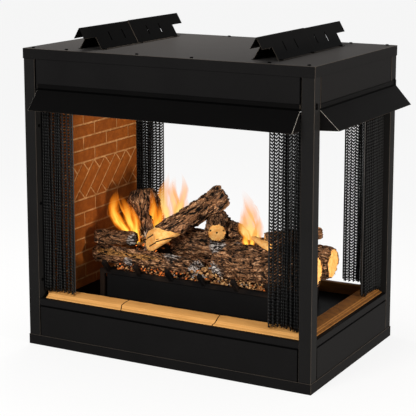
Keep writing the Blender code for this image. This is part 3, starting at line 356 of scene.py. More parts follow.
class Finish:
    """A surface finish round one Principled shader."""

    def __init__(self, name, **constants):
        self.material = bpy.data.materials.new(name)
        self.material.use_nodes = True
        self.tree = self.material.node_tree
        self.shader = self.tree.nodes["Principled BSDF"]
        for socket, value in constants.items():
            self.shader.inputs[socket.replace("_", " ")].default_value = value

    def node(self, kind, settings=None, inputs=None, output=0):
        """Add a node and return one of its outputs."""
        return add_node(self.tree, kind, settings, inputs).outputs[output]

    def amount(self, *arguments, **settings):
        """Add a node and return its output as a number."""
        return Amount(self.tree, self.node(*arguments, **settings))

    def here(self, *stretch):
        """The place on the object, stretched along its axes."""
        spot = self.node("ShaderNodeTexCoord", output="Object")
        return self.node("ShaderNodeMapping", None, {"Vector": spot, "Scale": stretch or (1.0, 1.0, 1.0)})

    def grain(self, scale, detail=3.0, roughness=0.55, spot=None, distortion=0.0):
        """Soft noise from 0 to 1 at a scale."""
        inputs = {"Scale": scale, "Detail": detail, "Roughness": roughness, "Distortion": distortion}
        inputs["Vector"] = spot if spot is not None else self.here()
        return self.amount("ShaderNodeTexNoise", None, inputs)

    def kept(self, name):
        """The number that was kept at the mesh's points under this name."""
        return self.amount("ShaderNodeAttribute", {"attribute_name": name}, None, "Fac")

    def cloth(self):
        """The piece's own cloth map, and how far across and up it a place lies."""
        cloth = self.node("ShaderNodeUVMap", {"uv_map": "cloth"})
        return (cloth, *(self.amount("ShaderNodeSeparateXYZ", None, {0: cloth}, axis) for axis in "XY"))

    def blend(self, share, first, second):
        """Mix two colours."""
        first, second = ((*value, 1.0) if isinstance(value, tuple) else value for value in (first, second))
        return self.node("ShaderNodeMix", {"data_type": "RGBA"}, {0: share, 6: first, 7: second}, 2)

    def give(self, socket, value):
        """Feed one of the shader's inputs."""
        put(self.tree, self.shader.inputs[socket], value)

    def rough_up(self, height, distance, strength=1.0):
        """Raise the surface by a height, in metres."""
        inputs = {"Height": height, "Distance": distance, "Strength": strength}
        self.give("Normal", self.node("ShaderNodeBump", None, inputs))


def powder_coat(name, colour, roughness, mirror=0.006):
    """Satin black powder coat: a fine orange peel, a little dust and uneven sheen."""
    made = Finish(name, Metallic=0.0, Specular_IOR_Level=mirror)
    cloud = made.grain(7.0, 4.0)
    speck = made.grain(900.0, 2.0)
    dust = made.grain(60.0, 5.0, 0.7).step(0.55, 0.8)
    lighter = tuple(value * 1.7 + 0.0008 for value in colour)
    made.give("Base Color", made.blend(cloud * 0.5 + dust * 0.35, colour, lighter))
    made.give("Roughness", roughness + (cloud - 0.5) * 0.16 + dust * 0.08)
    made.rough_up(speck + cloud * 0.3, 0.00012, 0.35)
    return made


def cast_iron(name):
    """Rough black iron, browned where it has been hot."""
    made = Finish(name, Metallic=0.0, Specular_IOR_Level=0.05)
    pits = made.grain(350.0, 4.0, 0.7)
    heat = made.grain(14.0, 3.0).step(0.42, 0.72)
    made.give("Base Color", made.blend(heat, (0.005, 0.0045, 0.0045), (0.022, 0.014, 0.010)))
    made.give("Roughness", 0.6 + pits * 0.25)
    made.rough_up(pits, 0.0006, 0.8)
    return made


def steel(name, colour, roughness, metallic):
    """Plain drawn steel with fine scratches along X."""
    made = Finish(name, Metallic=metallic)
    lines = made.grain(500.0, 3.0, 0.6, made.here(0.04, 1.0, 1.0))
    stain = made.grain(30.0, 3.0).step(0.45, 0.8)
    darker = tuple(value * 0.55 for value in colour)
    made.give("Base Color", made.blend(lines * 0.4 + stain * 0.4, colour, darker))
    made.give("Roughness", roughness + lines * 0.18)
    made.rough_up(lines, 0.0001, 0.3)
    return made


def fired_brick(name):
    """Orange brown moulded brick with its lighter joints, each brick of its own tone."""
    made = Finish(name, Roughness=0.9, Specular_IOR_Level=0.15)
    tone = made.kept("tone")
    mottle = made.grain(55.0, 5.0, 0.65)
    fine = made.grain(420.0, 3.0, 0.6)
    brick = made.blend(mottle.step(0.35, 0.8), (0.255, 0.062, 0.006), (0.395, 0.108, 0.012))
    brick = made.blend((tone - 0.4) * 0.8, brick, (0.170, 0.039, 0.004))
    brick = made.blend(made.grain(170.0, 3.0).step(0.64, 0.72) * 0.7, brick, (0.13, 0.034, 0.008))
    joint = made.blend(mottle.step(0.3, 0.7), (0.32, 0.130, 0.036), (0.56, 0.275, 0.105))
    made.give("Base Color", made.blend(tone.step(0.1, 0.3), joint, brick))
    made.rough_up(mottle + fine * 0.5, 0.0012, 0.7)
    return made


def ledge_clay(name, pale, deep):
    """Golden moulded clay, streaked along its length."""
    made = Finish(name, Roughness=0.82, Specular_IOR_Level=0.2)
    streak = made.grain(60.0, 4.0, 0.6, made.here(0.25, 1.0, 2.0))
    fine = made.grain(500.0, 3.0, 0.6)
    clay = made.blend(streak.step(0.35, 0.8) * 0.8, pale, deep)
    made.give("Base Color", made.blend(made.kept("joint").step(0.3, 0.9), clay, (0.050, 0.018, 0.005)))
    made.rough_up(streak + fine * 0.4, 0.0007, 0.6)
    return made


def woven_mesh(name, column, pitch, flat, crest_glint):
    """Black woven steel mesh: slanted wires that turn at each column, and gaps that open towards the lead, with a
    painted glint along each wire's crest.
    """
    made = Finish(name, Metallic=0.0, Specular_IOR_Level=0.12)
    _, across, up = made.cloth()
    turn = ((across / column).part() * 2.0 - 1.0).size()
    wire = ((up / pitch + turn * 0.75).part() - 0.5).size()
    loose = (across / flat).step(0.30, 1.0)
    slanted = (wire + loose * 0.125).step(0.475, 0.405)
    upright = (turn - 0.5).size().step(0.455, 0.480)
    made.give("Alpha", slanted.most(upright))
    # the crest of each wire gets a painted glint
    crest = wire.step(0.13, 0.02)
    made.give("Base Color", made.blend(crest, (0.0010, 0.0010, 0.0010), (crest_glint, crest_glint, crest_glint)))
    made.give("Roughness", 0.5 - crest * 0.2)
    made.rough_up(1.0 - wire * 2.0, 0.0012, 1.0)
    return made


BARK_PLATES = 88.0
LAY_PLATES = 92.0


def bark(name):
    """Ceramic bark: black furrows between brown plates with pale crests, ash, stripped streaks and sawn ends."""
    made = Finish(name, Roughness=0.92, Specular_IOR_Level=0.15)
    bare, ash, height = made.kept("bare"), made.kept("ash"), made.kept("height")
    lay = made.node("ShaderNodeAttribute", {"attribute_name": "lay"}, None, "Vector")
    bend = made.node("ShaderNodeTexNoise", None, {"Vector": lay, "Scale": 42.0, "Detail": 3.0}, "Color")
    bending = {0: bend, 1: (0.022, 0.022, 0.022), 2: lay}
    bent = made.node("ShaderNodeVectorMath", {"operation": "MULTIPLY_ADD"}, bending)
    plates = {"Vector": bent, "Scale": BARK_PLATES}
    gap = made.amount("ShaderNodeTexVoronoi", {"feature": "DISTANCE_TO_EDGE"}, plates)
    plate = made.amount("ShaderNodeTexVoronoi", None, plates, "Color")
    vein = (made.grain(95.0, 3.0, 0.6, bent) - 0.5).size()
    fine = made.grain(330.0, 4.0, 0.75, bent)
    speck = made.grain(260.0, 3.0, 0.65)
    patch = made.grain(30.0, 4.0, 0.6)
    browner = plate.step(0.25, 0.75) * 0.6 + fine.step(0.40, 0.62) * 0.5
    body = made.blend(browner, (0.055, 0.025, 0.013), (0.300, 0.138, 0.062))
    body = made.blend(patch.step(0.45, 0.70) * 0.55, body, (0.085, 0.055, 0.042))
    # pale crests: partly the bark's own light paint, partly a painted highlight
    crest = made.blend(speck.step(0.42, 0.62), (0.50, 0.225, 0.095), (0.80, 0.480, 0.270))
    rise = gap.step(0.0, 0.20) * 0.26 + vein.step(0.004, 0.060) * 0.32 + fine * 1.15 + height * 0.24
    # black furrows: partly the bark's own dark paint, partly painted shade
    rind = made.blend(rise.step(0.84, 1.02), (0.004, 0.003, 0.002), body)
    rind = made.blend(rise.step(1.17, 1.30) * 0.9, rind, crest)
    golden = made.blend(fine.step(0.38, 0.62), (0.20, 0.090, 0.026), (0.62, 0.300, 0.088))
    rind = made.blend(made.kept("streak") * rise.step(0.90, 1.05), rind, golden)
    blackening = (ash * 1.6 - 0.4).step(0.0, 1.0) * 0.8
    rind = made.blend(blackening, rind, (0.016, 0.014, 0.013))
    powder = (ash * 1.2 + speck * 1.6 - 1.36).step(0.0, 0.30)
    rind = made.blend(powder * rise.step(0.98, 1.22) * 0.9, rind, (0.74, 0.67, 0.62))
    rings = made.grain(90.0, 3.0, 0.6)
    pores = made.grain(430.0, 2.0).step(0.69, 0.74)
    wood = made.blend(rings.step(0.3, 0.7), (0.93, 0.400, 0.095), (1.0, 0.590, 0.200))
    wood = made.blend(pores * 0.75, wood, (0.14, 0.05, 0.012))
    wood = made.blend(made.kept("crack").step(0.15, 0.6), wood, (0.008, 0.005, 0.003))
    made.give("Base Color", made.blend(bare.step(0.35, 0.65), rind, wood))
    relief = gap.step(0.0, 0.26) * 0.4 + vein.step(0.0, 0.08) * 0.4 + fine * 0.8
    made.rough_up(relief * (1.0 - bare * 0.85), 0.0042, 1.0)
    return made


def ember(name):
    """Mineral wool embers: golden and grey chips, some of them charred and some glowing red."""
    made = Finish(name, Roughness=0.95, Specular_IOR_Level=0.15, Emission_Strength=1.9)
    tone = made.kept("tone")
    heat = made.kept("glowing")
    fine = made.grain(260.0, 4.0, 0.7)
    wool = made.blend(tone.step(0.1, 0.9), (0.26, 0.105, 0.034), (0.76, 0.440, 0.190))
    wool = made.blend(tone.step(0.93, 0.96), wool, (0.40, 0.37, 0.34))
    wool = made.blend(tone.step(0.11, 0.06), wool, (0.016, 0.012, 0.010))
    wool = made.blend(fine.step(0.5, 0.8) * 0.6, wool, (0.10, 0.045, 0.018))
    made.give("Base Color", made.blend(heat.step(0.45, 0.60), wool, (0.120, 0.028, 0.010)))
    glow = made.blend(heat.step(0.55, 0.80), (0.0, 0.0, 0.0), (1.0, 0.235, 0.040))
    made.give("Emission Color", made.blend(fine.step(0.40, 0.56) * 0.92, glow, (0.0, 0.0, 0.0)))
    made.rough_up(fine, 0.002, 0.9)
    return made


def flame(name, strength, core, rim):
    """Burning gas: brightest low in the middle, streaked along its length, and ragged at its edges."""
    made = Finish(name, Roughness=1.0, Specular_IOR_Level=0.0, Emission_Strength=strength)
    made.shader.inputs["Base Color"].default_value = (0.0, 0.0, 0.0, 1.0)
    cloth, across, up = made.cloth()
    drawn_up = made.node("ShaderNodeMapping", None, {"Vector": cloth, "Scale": (1.0, 0.16, 1.0)})
    streak = made.grain(9.0, 3.0, 0.55, drawn_up, 0.5)
    lick = made.grain(30.0, 2.0, 0.5, made.here(1.0, 1.0, 0.45), 0.8)
    side = (across * 2.0 - 1.0).size() + (streak - 0.5) * 0.55 + (lick - 0.5) * 0.95
    thick = side.step(1.0, 0.45) * up.step(1.02, 0.62) * up.step(0.0, 0.05)
    hot = side.step(0.66, 0.10) * up.step(0.95, 0.20)
    made.give("Emission Color", made.blend(hot, rim, core))
    made.give("Alpha", thick * (0.55 + hot * 0.45))
    return made


def moulded(name, colour, roughness):
    """Moulded plastic with a fine texture."""
    made = Finish(name, Metallic=0.0)
    fine = made.grain(1500.0, 2.0)
    haze = made.grain(80.0, 3.0)
    lighter = tuple(value * 1.6 + 0.004 for value in colour)
    made.give("Base Color", made.blend(haze * 0.6, colour, lighter))
    made.give("Roughness", roughness + haze * 0.12)
    made.rough_up(fine, 0.0001, 0.5)
    return made


COAT = powder_coat("black_coat", (0.0066, 0.0064, 0.0065), 0.38)
# a lighter copy of the coat for the posts: painted sheen
COAT_POST_SHEEN = powder_coat("black_coat_post_painted_sheen", (0.0090, 0.0088, 0.0088), 0.37, 0.007)
# a darker copy of the coat for the hoods and standoffs: painted shade
COAT_SHADED = powder_coat("black_coat_shaded", (0.0027, 0.0026, 0.0026), 0.40)
# a much lighter copy of the coat for the top's upward faces: painted sheen
COAT_TOP_SHEEN = powder_coat("black_coat_top_painted_sheen", (0.036, 0.034, 0.033), 0.40, 0.001)
# a tan copy of the coat for rounded folds: painted highlight
COAT_EDGE_HIGHLIGHT = powder_coat("black_coat_edge_painted_highlight", (0.072, 0.059, 0.047), 0.34)
# a pale grey copy of the coat for the hoods' lip edges: a brighter painted highlight
COAT_LIP_HIGHLIGHT = powder_coat("black_coat_lip_painted_highlight", (0.34, 0.32, 0.29), 0.34)
# a near black copy of the coat for seams, creases, slots and panel edges: painted shade
COAT_SEAM_SHADE = powder_coat("black_coat_seam_painted_shade", (0.0004, 0.0004, 0.0004), 0.60)
HEARTH_BLACK = powder_coat("hearth_black", (0.0030, 0.0029, 0.0028), 0.34)
SCREW_BLACK = powder_coat("screw_black", (0.0012, 0.0012, 0.0012), 0.45)
DARK_STEEL = steel("dark_steel", (0.030, 0.029, 0.028), 0.34, 0.7)
BRIGHT_STEEL = steel("plain_steel", (0.45, 0.44, 0.42), 0.30, 1.0)
BRASS = steel("valve_brass", (0.52, 0.36, 0.14), 0.30, 1.0)
IRON = cast_iron("cast_black")
BRICK = fired_brick("fired_brick")
LEDGE = ledge_clay("ledge_brick", (0.72, 0.355, 0.100), (0.58, 0.265, 0.066))
# a lighter copy for the front ledges' lips: painted highlight
LEDGE_LIP_HIGHLIGHT = ledge_clay("ledge_brick_lip_painted_highlight", (0.80, 0.42, 0.135), (0.66, 0.32, 0.085))
# darker copies for the right and rear ledges: painted shade, with a lighter painted highlight on their lips
LEDGE_SHADE = ledge_clay("ledge_brick_painted_shade", (0.150, 0.058, 0.009), (0.062, 0.022, 0.004))
LEDGE_SHADE_LIP_HIGHLIGHT = ledge_clay("ledge_brick_painted_shade_lip_highlight", (0.27, 0.115, 0.024), (0.15, 0.058, 0.012))
BARK = bark("ceramic_bark")
EMBER = ember("ember_wool")
KNOB = moulded("knob_black", (0.015, 0.015, 0.015), 0.42)
FLAME = flame("flame", 1.4, (1.0, 0.70, 0.10), (1.0, 0.23, 0.008))
FLAME_PALE = flame("flame_pale", 1.05, (1.0, 0.74, 0.24), (1.0, 0.33, 0.035))


# ---------------------------------------------------------------- cabinet


def mitre(piece):
    """Carry the right hood's front cheek on to the post, along a mitre that ends at the hood's lip."""
    low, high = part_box("hood_right")
    spots = places_of(piece)
    for spot in spots:
        if spot[1] < low.y + 0.005:
            spot[1] -= MITRE * (high.x - spot[0]) / (high.x - low.x)
    move_to(piece, spots)


def outward(node):
    """Which way a panel faces, from its name."""
    ways = {"front": (0, -1, 0), "rear": (0, 1, 0), "right": (1, 0, 0), "left": (-1, 0, 0)}
    return Vector(ways[node.rsplit("_", 1)[1]])


def refinish(piece, slot, test):
    """Give the faces that pass a test another of the piece's finishes."""
    for face in piece.data.polygons:
        if test(face):
            face.material_index = slot


def seam(piece, way):
    """Inset a band of painted shade round a panel's outer face, for the shadow in the seam next to it."""
    choose_faces(piece, lambda middle, normal: normal.dot(way) > 0.9)
    bpy.ops.mesh.inset(thickness=SEAM, use_even_offset=True)
    leave_edit()
    refinish(piece, SEAM_SHADE_FINISH, lambda face: face.normal.dot(way) > 0.9 and not face.select)


def make_cabinet():
    """Finish the folded sheet metal, with a thin painted highlight along its folds and painted shadow in the hoods'
    creases.
    """
    for node in (
        "base_pan", "top_cover", "post_front_left", "post_front_right", "post_rear_left", "post_rear_right",
        "hood_front", "hood_right", "hood_rear", "standoff_left", "standoff_right",
    ):
        piece = copy_of(node, f"{node}_coated")
        if node == "hood_right":
            mitre(piece)
        shaded = node.startswith(("hood", "standoff"))
        # hoods and standoffs take the darker copy, painted shade; posts take the lighter copy, painted sheen
        coat = COAT_SHADED if shaded else COAT_POST_SHEEN if node.startswith("post") else COAT
        dress(piece, (coat, COAT_EDGE_HIGHLIGHT, COAT_SEAM_SHADE, COAT_LIP_HIGHLIGHT, COAT_TOP_SHEEN))
        if node.startswith("hood"):
            # the strip between this line and the fold is darkened like the shadow there
            cut(piece, (0.0, 0.0, HOOD_CREASE), (0.0, 0.0, 1.0))
        # the rounded folds get a painted highlight
        soften(piece, FOLD_ROUNDING, angle=FOLD_ANGLE, rounding_finish=EDGE_HIGHLIGHT_FINISH)
        if node.startswith("hood"):
            way, wall = outward(node), HALF_WIDTH if node == "hood_right" else HALF_DEPTH
            # the band from the fold to the crease and the flange above the hood's top get painted shadow
            refinish(
                piece, SEAM_SHADE_FINISH,
                lambda face: HOOD_FOLD < face.center.z < HOOD_CREASE or face.center.z > HOOD_TOP,
            )
            # the hoods' outer lip edges get a brighter painted highlight
            refinish(
                piece, LIP_HIGHLIGHT_FINISH,
                lambda face: face.material_index == EDGE_HIGHLIGHT_FINISH and HOOD_LIP < face.center.z < HOOD_FOLD
                and face.center.dot(way) > wall + 0.003,
            )
        if node == "top_cover":
            # the top's upward faces get the lighter copy: painted sheen
            refinish(piece, TOP_SHEEN_FINISH, lambda face: face.normal.z > 0.99)
            # the faces below the hem line get painted shade
            refinish(piece, SEAM_SHADE_FINISH, lambda face: face.center.z < COVER_HEM)
        if node.startswith("standoff"):
            # the slots' small rounded edges get painted shade
            refinish(piece, SEAM_SHADE_FINISH, lambda face: face.material_index == EDGE_HIGHLIGHT_FINISH and face.area < SLOT_EDGE_AREA)


def make_panels():
    """Finish the flat panels, with painted shade in the seams round those between the posts and on all their rounded
    edges, and the hearth floor.
    """
    framed = [f"{part}_{side}" for part in ("fascia", "lower_panel", "sill") for side in ("front", "right", "rear")]
    for node in [*framed, "side_panel_left", "ceiling_panel", "burner_box"]:
        piece = copy_of(node, f"{node}_coated")
        dress(piece, (COAT, COAT_EDGE_HIGHLIGHT, COAT_SEAM_SHADE))
        if node.startswith(("fascia", "lower_panel", "side_panel")):
            seam(piece, outward(node))
        # every panel's rounded edges get painted shade
        soften(piece, FOLD_ROUNDING, angle=FOLD_ANGLE, rounding_finish=SEAM_SHADE_FINISH)
        if node == "fascia_right":
            # its rounded edge at the near end gets a painted highlight, and its other edges painted shade
            low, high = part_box(node)
            near = 0.0008
            refinish(piece, EDGE_HIGHLIGHT_FINISH, lambda face: face.center.x > high.x - near and face.center.y < low.y + near)
    finished("hearth_floor", "coated", HEARTH_BLACK, "cast_black", width=0.0006)


def screw_pattern():
    """Model one pan head screw with a cross recess, its head up."""
    screw = rod((0.0, 0.0, 0.0), (0.0, 0.0, 0.0024), 0.0050, 16)
    choose_faces(screw, lambda middle, normal: normal.z > 0.9)
    bpy.ops.mesh.inset(thickness=0.0011)
    bpy.ops.transform.translate(value=(0.0, 0.0, 0.0009))
    bpy.ops.mesh.inset(thickness=0.0012)
    bpy.ops.transform.translate(value=(0.0, 0.0, 0.0002))
    leave_edit()
    arms = ((0.0016, 0.00035), (0.00035, 0.0016))
    cross = join("cross", [block((-wide, -deep, 0.0020), (wide, deep, 0.005)) for wide, deep in arms])
    apply(screw, "BOOLEAN", operation="DIFFERENCE", object=cross, solver="EXACT", use_self=True)
    remove(cross)
    smooth(screw, 35.0)
    return screw


def make_screws():
    """Set the screws: round the top, down the posts, and in the feet of the standoffs."""
    pattern = screw_pattern()
    rows = {"top_cover": [], "posts": [], "standoffs": []}
    for side in (-1, 1):
        for x in (-0.452, -0.333, -0.09, 0.09, 0.333, 0.452):
            rows["top_cover"].append(((x, side * 0.285, CABINET_TOP), (0, 0, 1)))
        for z in (0.806, 0.815):
            rows["posts"].append(((HALF_WIDTH, side * 0.2865, z), (1, 0, 0)))
        for z in (0.205, 0.445, 0.685):
            rows["posts"].append(((-HALF_WIDTH + POST_SIZE, side * 0.2845, z), (1, 0, 0)))
            rows["posts"].append(((HALF_WIDTH - POST_SIZE, side * 0.2845, z), (-1, 0, 0)))
    for middle in (-0.277, 0.300):
        for y in (-0.225, -0.018, 0.190):
            for side in (-1, 1):
                rows["standoffs"].append(((middle + side * 0.0415, y, CABINET_TOP + 0.0018), (0, 0, 1)))
    for name, spots in rows.items():
        copies = []
        for place, normal in spots:
            turn = Vector(normal).to_track_quat("Z", "Y").to_matrix().to_4x4()
            copies.append(copy_at(pattern, Matrix.Translation(place) @ turn))
        dress(join(f"screws_{name}", copies), SCREW_BLACK)
    remove(pattern)


# ---------------------------------------------------------------- brick lining


BRICK_LENGTH = 0.1325
BRICK_DEPTH = 0.004
BRICK_SINK = 0.0006
BRICK_UNEVEN = 0.0007
BACKING_DEPTH = 0.014
ROW_STAGGER = -0.0635
JOINT = 0.0058
BRICK_PROUD = 0.0022
UPPER_COURSES = (0.536, 0.576, 0.617, 0.658, 0.699, 0.740, 0.781, 0.822)
LOWER_COURSES = (0.129, 0.161, 0.2042, 0.2465, 0.2910, 0.3305, 0.3740, 0.4175)
BAND = (0.4175, 0.536)
DIAGONAL_PITCH = 0.0637
DIAGONAL_PLACE = -0.1228


def flat_brick(corners, luck):
    """Make one brick from its flat corners (y, z) on the wall, a little uneven."""
    shrunk = []
    count = len(corners)
    brick = added(bpy.ops.mesh.primitive_circle_add, vertices=count, radius=0.01, fill_type="NGON")
    for index in range(count):
        here = Vector(corners[index])
        before = (here - Vector(corners[index - 1])).normalized()
        after = (Vector(corners[(index + 1) % count]) - here).normalized()
        inward = Vector((-before.y, before.x)) + Vector((-after.y, after.x))
        shrunk.append(here + inward / max(0.3, 1.0 + before.dot(after)) * (JOINT / 2))
    face = LINER_FACE - luck.random() * BRICK_SINK
    for vertex, (y, z) in zip(brick.data.vertices, shrunk):
        y_off, z_off = luck.uniform(-BRICK_UNEVEN, BRICK_UNEVEN), luck.uniform(-BRICK_UNEVEN, BRICK_UNEVEN)
        vertex.co = (face - BRICK_DEPTH, y + y_off, z + z_off)
    choose_faces(brick, lambda middle, normal: True)
    bpy.ops.mesh.extrude_region_move(TRANSFORM_OT_translate={"value": (BRICK_DEPTH, 0.0, 0.0)})
    bpy.ops.mesh.select_all(action="SELECT")
    bpy.ops.mesh.normals_make_consistent(inside=False)
    leave_edit()
    mark_all(brick, "tone", luck.uniform(0.45, 1.0))
    return brick


def make_liner():
    """Lay the brick facing: running bond, with a band of slanted bricks and small closers across it."""
    luck = random.Random(7)
    bricks = []
    for courses in (UPPER_COURSES, LOWER_COURSES[::-1]):
        for row, (one, other) in enumerate(zip(courses, courses[1:])):
            low, high = min(one, other), max(one, other)
            for index in range(-3, 4):
                left = index * BRICK_LENGTH + (ROW_STAGGER if row % 2 else 0.0)
                left, right = max(left, -LINER_HALF), min(left + BRICK_LENGTH, LINER_HALF)
                top = min(high, LINER_TOP + JOINT / 2)
                if right - left > 0.012 and top - low > 0.008:
                    bricks.append(flat_brick([(left, low), (right, low), (right, top), (left, top)], luck))
    bottom, top = BAND
    height = top - bottom
    for index in range(-4, 8):
        left = DIAGONAL_PLACE + index * DIAGONAL_PITCH
        right = left + DIAGONAL_PITCH
        half = DIAGONAL_PITCH / 2
        start, finish = (left + half, bottom + half), (right + height - half, top - half)
        slab = [(right, bottom), finish, (left + height, top), start]
        upper = [finish, (right + height, top), (left + height, top)]
        lower = [(left, bottom), (right, bottom), start]
        for corners in (slab, upper, lower):
            ends = [y for y, _ in corners]
            if max(ends) > -LINER_HALF + 0.01 and min(ends) < LINER_HALF - 0.01:
                bricks.append(flat_brick(corners, luck))
    facing = join("bricks", bricks)
    for sign in (-1, 1):
        end = (0.0, sign * (LINER_HALF - 0.001), 0.0)
        cut(facing, end, (0.0, sign, 0.0), use_fill=True, clear_outer=True)
    soften(facing, 0.0013, angle=40.0)
    backing = block(
        (LINER_FACE - BACKING_DEPTH, -LINER_HALF, LINER_FOOT), (LINER_FACE - BRICK_PROUD, LINER_HALF, LINER_TOP)
    )
    mark_all(backing, "tone", 0.0)
    liner = join("brick_liner_laid", [facing, backing])
    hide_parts("brick_liner")
    dress(liner, BRICK)


LEDGE_STEP = 0.012
LEDGE_END = 0.0035
LEDGE_JOINTS = (-0.155, 0.160)


def make_ledges():
    """Finish the ledge bricks: hand smoothed lips, and joints that aren't quite straight."""
    for name in (
        "ledge_front_left", "ledge_front_middle", "ledge_front_right",
        "ledge_rear_left", "ledge_rear_middle", "ledge_rear_right", "ledge_right",
    ):
        low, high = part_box(name)
        piece = copy_of(name, f"{name}_moulded")
        long_way = 1 if name == "ledge_right" else 0
        start, end = low[long_way], high[long_way]
        steps = int((end - start) / LEDGE_STEP)
        cuts = [start + (end - start) * step / steps for step in range(1, steps)]
        normal = (0.0, 1.0, 0.0) if long_way else (1.0, 0.0, 0.0)
        for place in [*cuts, start + LEDGE_END, end - LEDGE_END]:
            cut(piece, Vector(normal) * place, normal)
        # the right and rear ledges take the darker copies as painted shade
        dress(piece, (LEDGE, LEDGE_LIP_HIGHLIGHT) if "front" in name else (LEDGE_SHADE, LEDGE_SHADE_LIP_HIGHLIGHT))
        # the rounded lips take the lighter copy, a painted highlight
        soften(piece, 0.0012, angle=18.0, rounding_finish=1)
        spots = places_of(piece)
        moved = spots.copy()
        joints = np.zeros(len(spots))
        for index, spot in enumerate(spots):
            place = Vector(spot)
            to_end = min(spot[long_way] - start, end - spot[long_way])
            joints[index] = 1.0 if to_end < 0.0006 else 0.35 if to_end < 0.0015 else 0.0
            if spot[2] > LINER_FOOT + 0.004:
                moved[index][2] += noise.noise(place * 45.0) * 0.0007 + noise.noise(place * 160.0) * 0.0003
            if long_way == 0:
                for joint in LEDGE_JOINTS:
                    near = math.exp(-(((spot[0] - joint) / 0.02) ** 2))
                    moved[index][0] += near * 0.0035 * math.sin(spot[1] * 140.0 + joint * 10.0)
                    if abs(spot[0] - joint) < 0.0016:
                        moved[index][0] += math.copysign(0.0007, spot[0] - joint)
        move_to(piece, moved)
        mark(piece, "joint", joints)


# ---------------------------------------------------------------- curtains


CURTAIN_TOP = 0.7812
CURTAIN_FOOT = 0.1705
CURTAIN_POST = 0.4362
RIGHT_CURTAIN_POST = 0.2612
FRONT_ROD_OUT = 0.268
RIGHT_ROD_OUT = 0.450
FOLD_DEPTH = 0.0098
DEEPEST_FOLD = 0.0100
FOLD_POINTS = 14
CURTAIN_ROWS = 40
WIRE_PITCH = 0.0093
MESH_THICKNESS = 0.0009
RING_RADIUS = 0.0062
RING_WIRE = 0.0008
CUP_RADIUS = 0.0085
CUP_DEPTH = 0.0035


def fold_path(folds):
    """List the cloth's path across (0 to 1) and in depth: soft folds, tight at the post and looser at the lead."""
    path = []
    for step in range(folds * FOLD_POINTS + 1):
        share = step / (folds * FOLD_POINTS)
        turn = 2 * math.pi * folds * share
        across = share - 0.09 / folds * math.sin(2 * turn)
        across += 0.034 * math.sin(2 * math.pi * 2.4 * share) * math.sin(math.pi * share)
        path.append((across * (0.60 + 0.40 * across), FOLD_DEPTH * math.sin(turn)))
    return path


def make_curtain(name, turn, plane, start, direction, folds, width, crest_glint):
    """Hang one gathered mesh curtain: its folds, its ragged foot, and its rings on the rod.

    It is laid out as at the front and then turned. The mesh lies in plane, from start at its post towards direction.
    """
    columns = folds * FOLD_POINTS
    curtain = added(bpy.ops.mesh.primitive_grid_add, x_subdivisions=columns, y_subdivisions=CURTAIN_ROWS, size=1.0)
    curtain.name = f"curtain_{name}_mesh"
    path = fold_path(folds)
    flat = sum(math.hypot((b[0] - a[0]) * width, b[1] - a[1]) for a, b in zip(path, path[1:]))
    height = CURTAIN_TOP - CURTAIN_FOOT
    luck = random.Random(name)
    tips = [luck.uniform(-1.0, 1.0) for _ in range(columns + 1)]
    spots = places_of(curtain)
    shares = np.rint((spots[:, 0] + 0.5) * columns).astype(int)
    levels = spots[:, 1] + 0.5
    matrix = Matrix.Rotation(turn, 4, "Z")
    moved = []
    for column, level in zip(shares, levels):
        across, depth = path[column]
        share = column / columns
        shape = (0.72 + 0.28 * (1.0 - level)) * (1.0 + 0.10 * math.sin(9.0 * share + 3.0 * level))
        drift = 0.0012 * math.sin(2 * math.pi * (1.3 * level + 2.0 * share)) * math.sin(math.pi * share)
        foot = (1.0 - level) ** 12
        z = CURTAIN_FOOT + height * level + foot * 0.0035 * tips[column] - 0.003 * foot * math.sin(7.0 * share)
        depth = max(-DEEPEST_FOLD, min(DEEPEST_FOLD, depth * shape))
        spot = Vector((start + direction * (across * width + drift), plane + depth, z))
        moved.append(matrix @ spot)
    move_to(curtain, moved)
    map_cloth(curtain, [(column / columns * flat, level * height) for column, level in zip(shares, levels)])
    edit_all(curtain)
    bpy.ops.mesh.normals_make_consistent(inside=False)
    leave_edit()
    apply(curtain, "SOLIDIFY", thickness=MESH_THICKNESS, offset=0.0, use_rim=True)
    smooth(curtain)
    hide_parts(f"curtain_{name}")
    finish = woven_mesh(f"curtain_mesh_{name}", flat / folds / 2, WIRE_PITCH, flat, crest_glint)
    dress(curtain, finish, None)
    lead = f"curtain_lead_{name}"
    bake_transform(curtain)
    rings = []
    for index in range(folds):
        rings.append(added(
            bpy.ops.mesh.primitive_torus_add,
            major_radius=RING_RADIUS, minor_radius=RING_WIRE, major_segments=20, minor_segments=6,
            rotation=(0.0, math.pi / 2, 0.0),
            location=(start + direction * width * (index + 0.25) / folds, plane, ROD_HEIGHT),
        ))
    hoops = join(f"curtain_{name}_rings", rings)
    hoops.data.transform(matrix)
    smooth(hoops)
    dress(hoops, DARK_STEEL, None)
    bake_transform(hoops)
    finished(lead, "wire", DARK_STEEL, "dark_steel", lead, width=0.0004, angle=40.0)


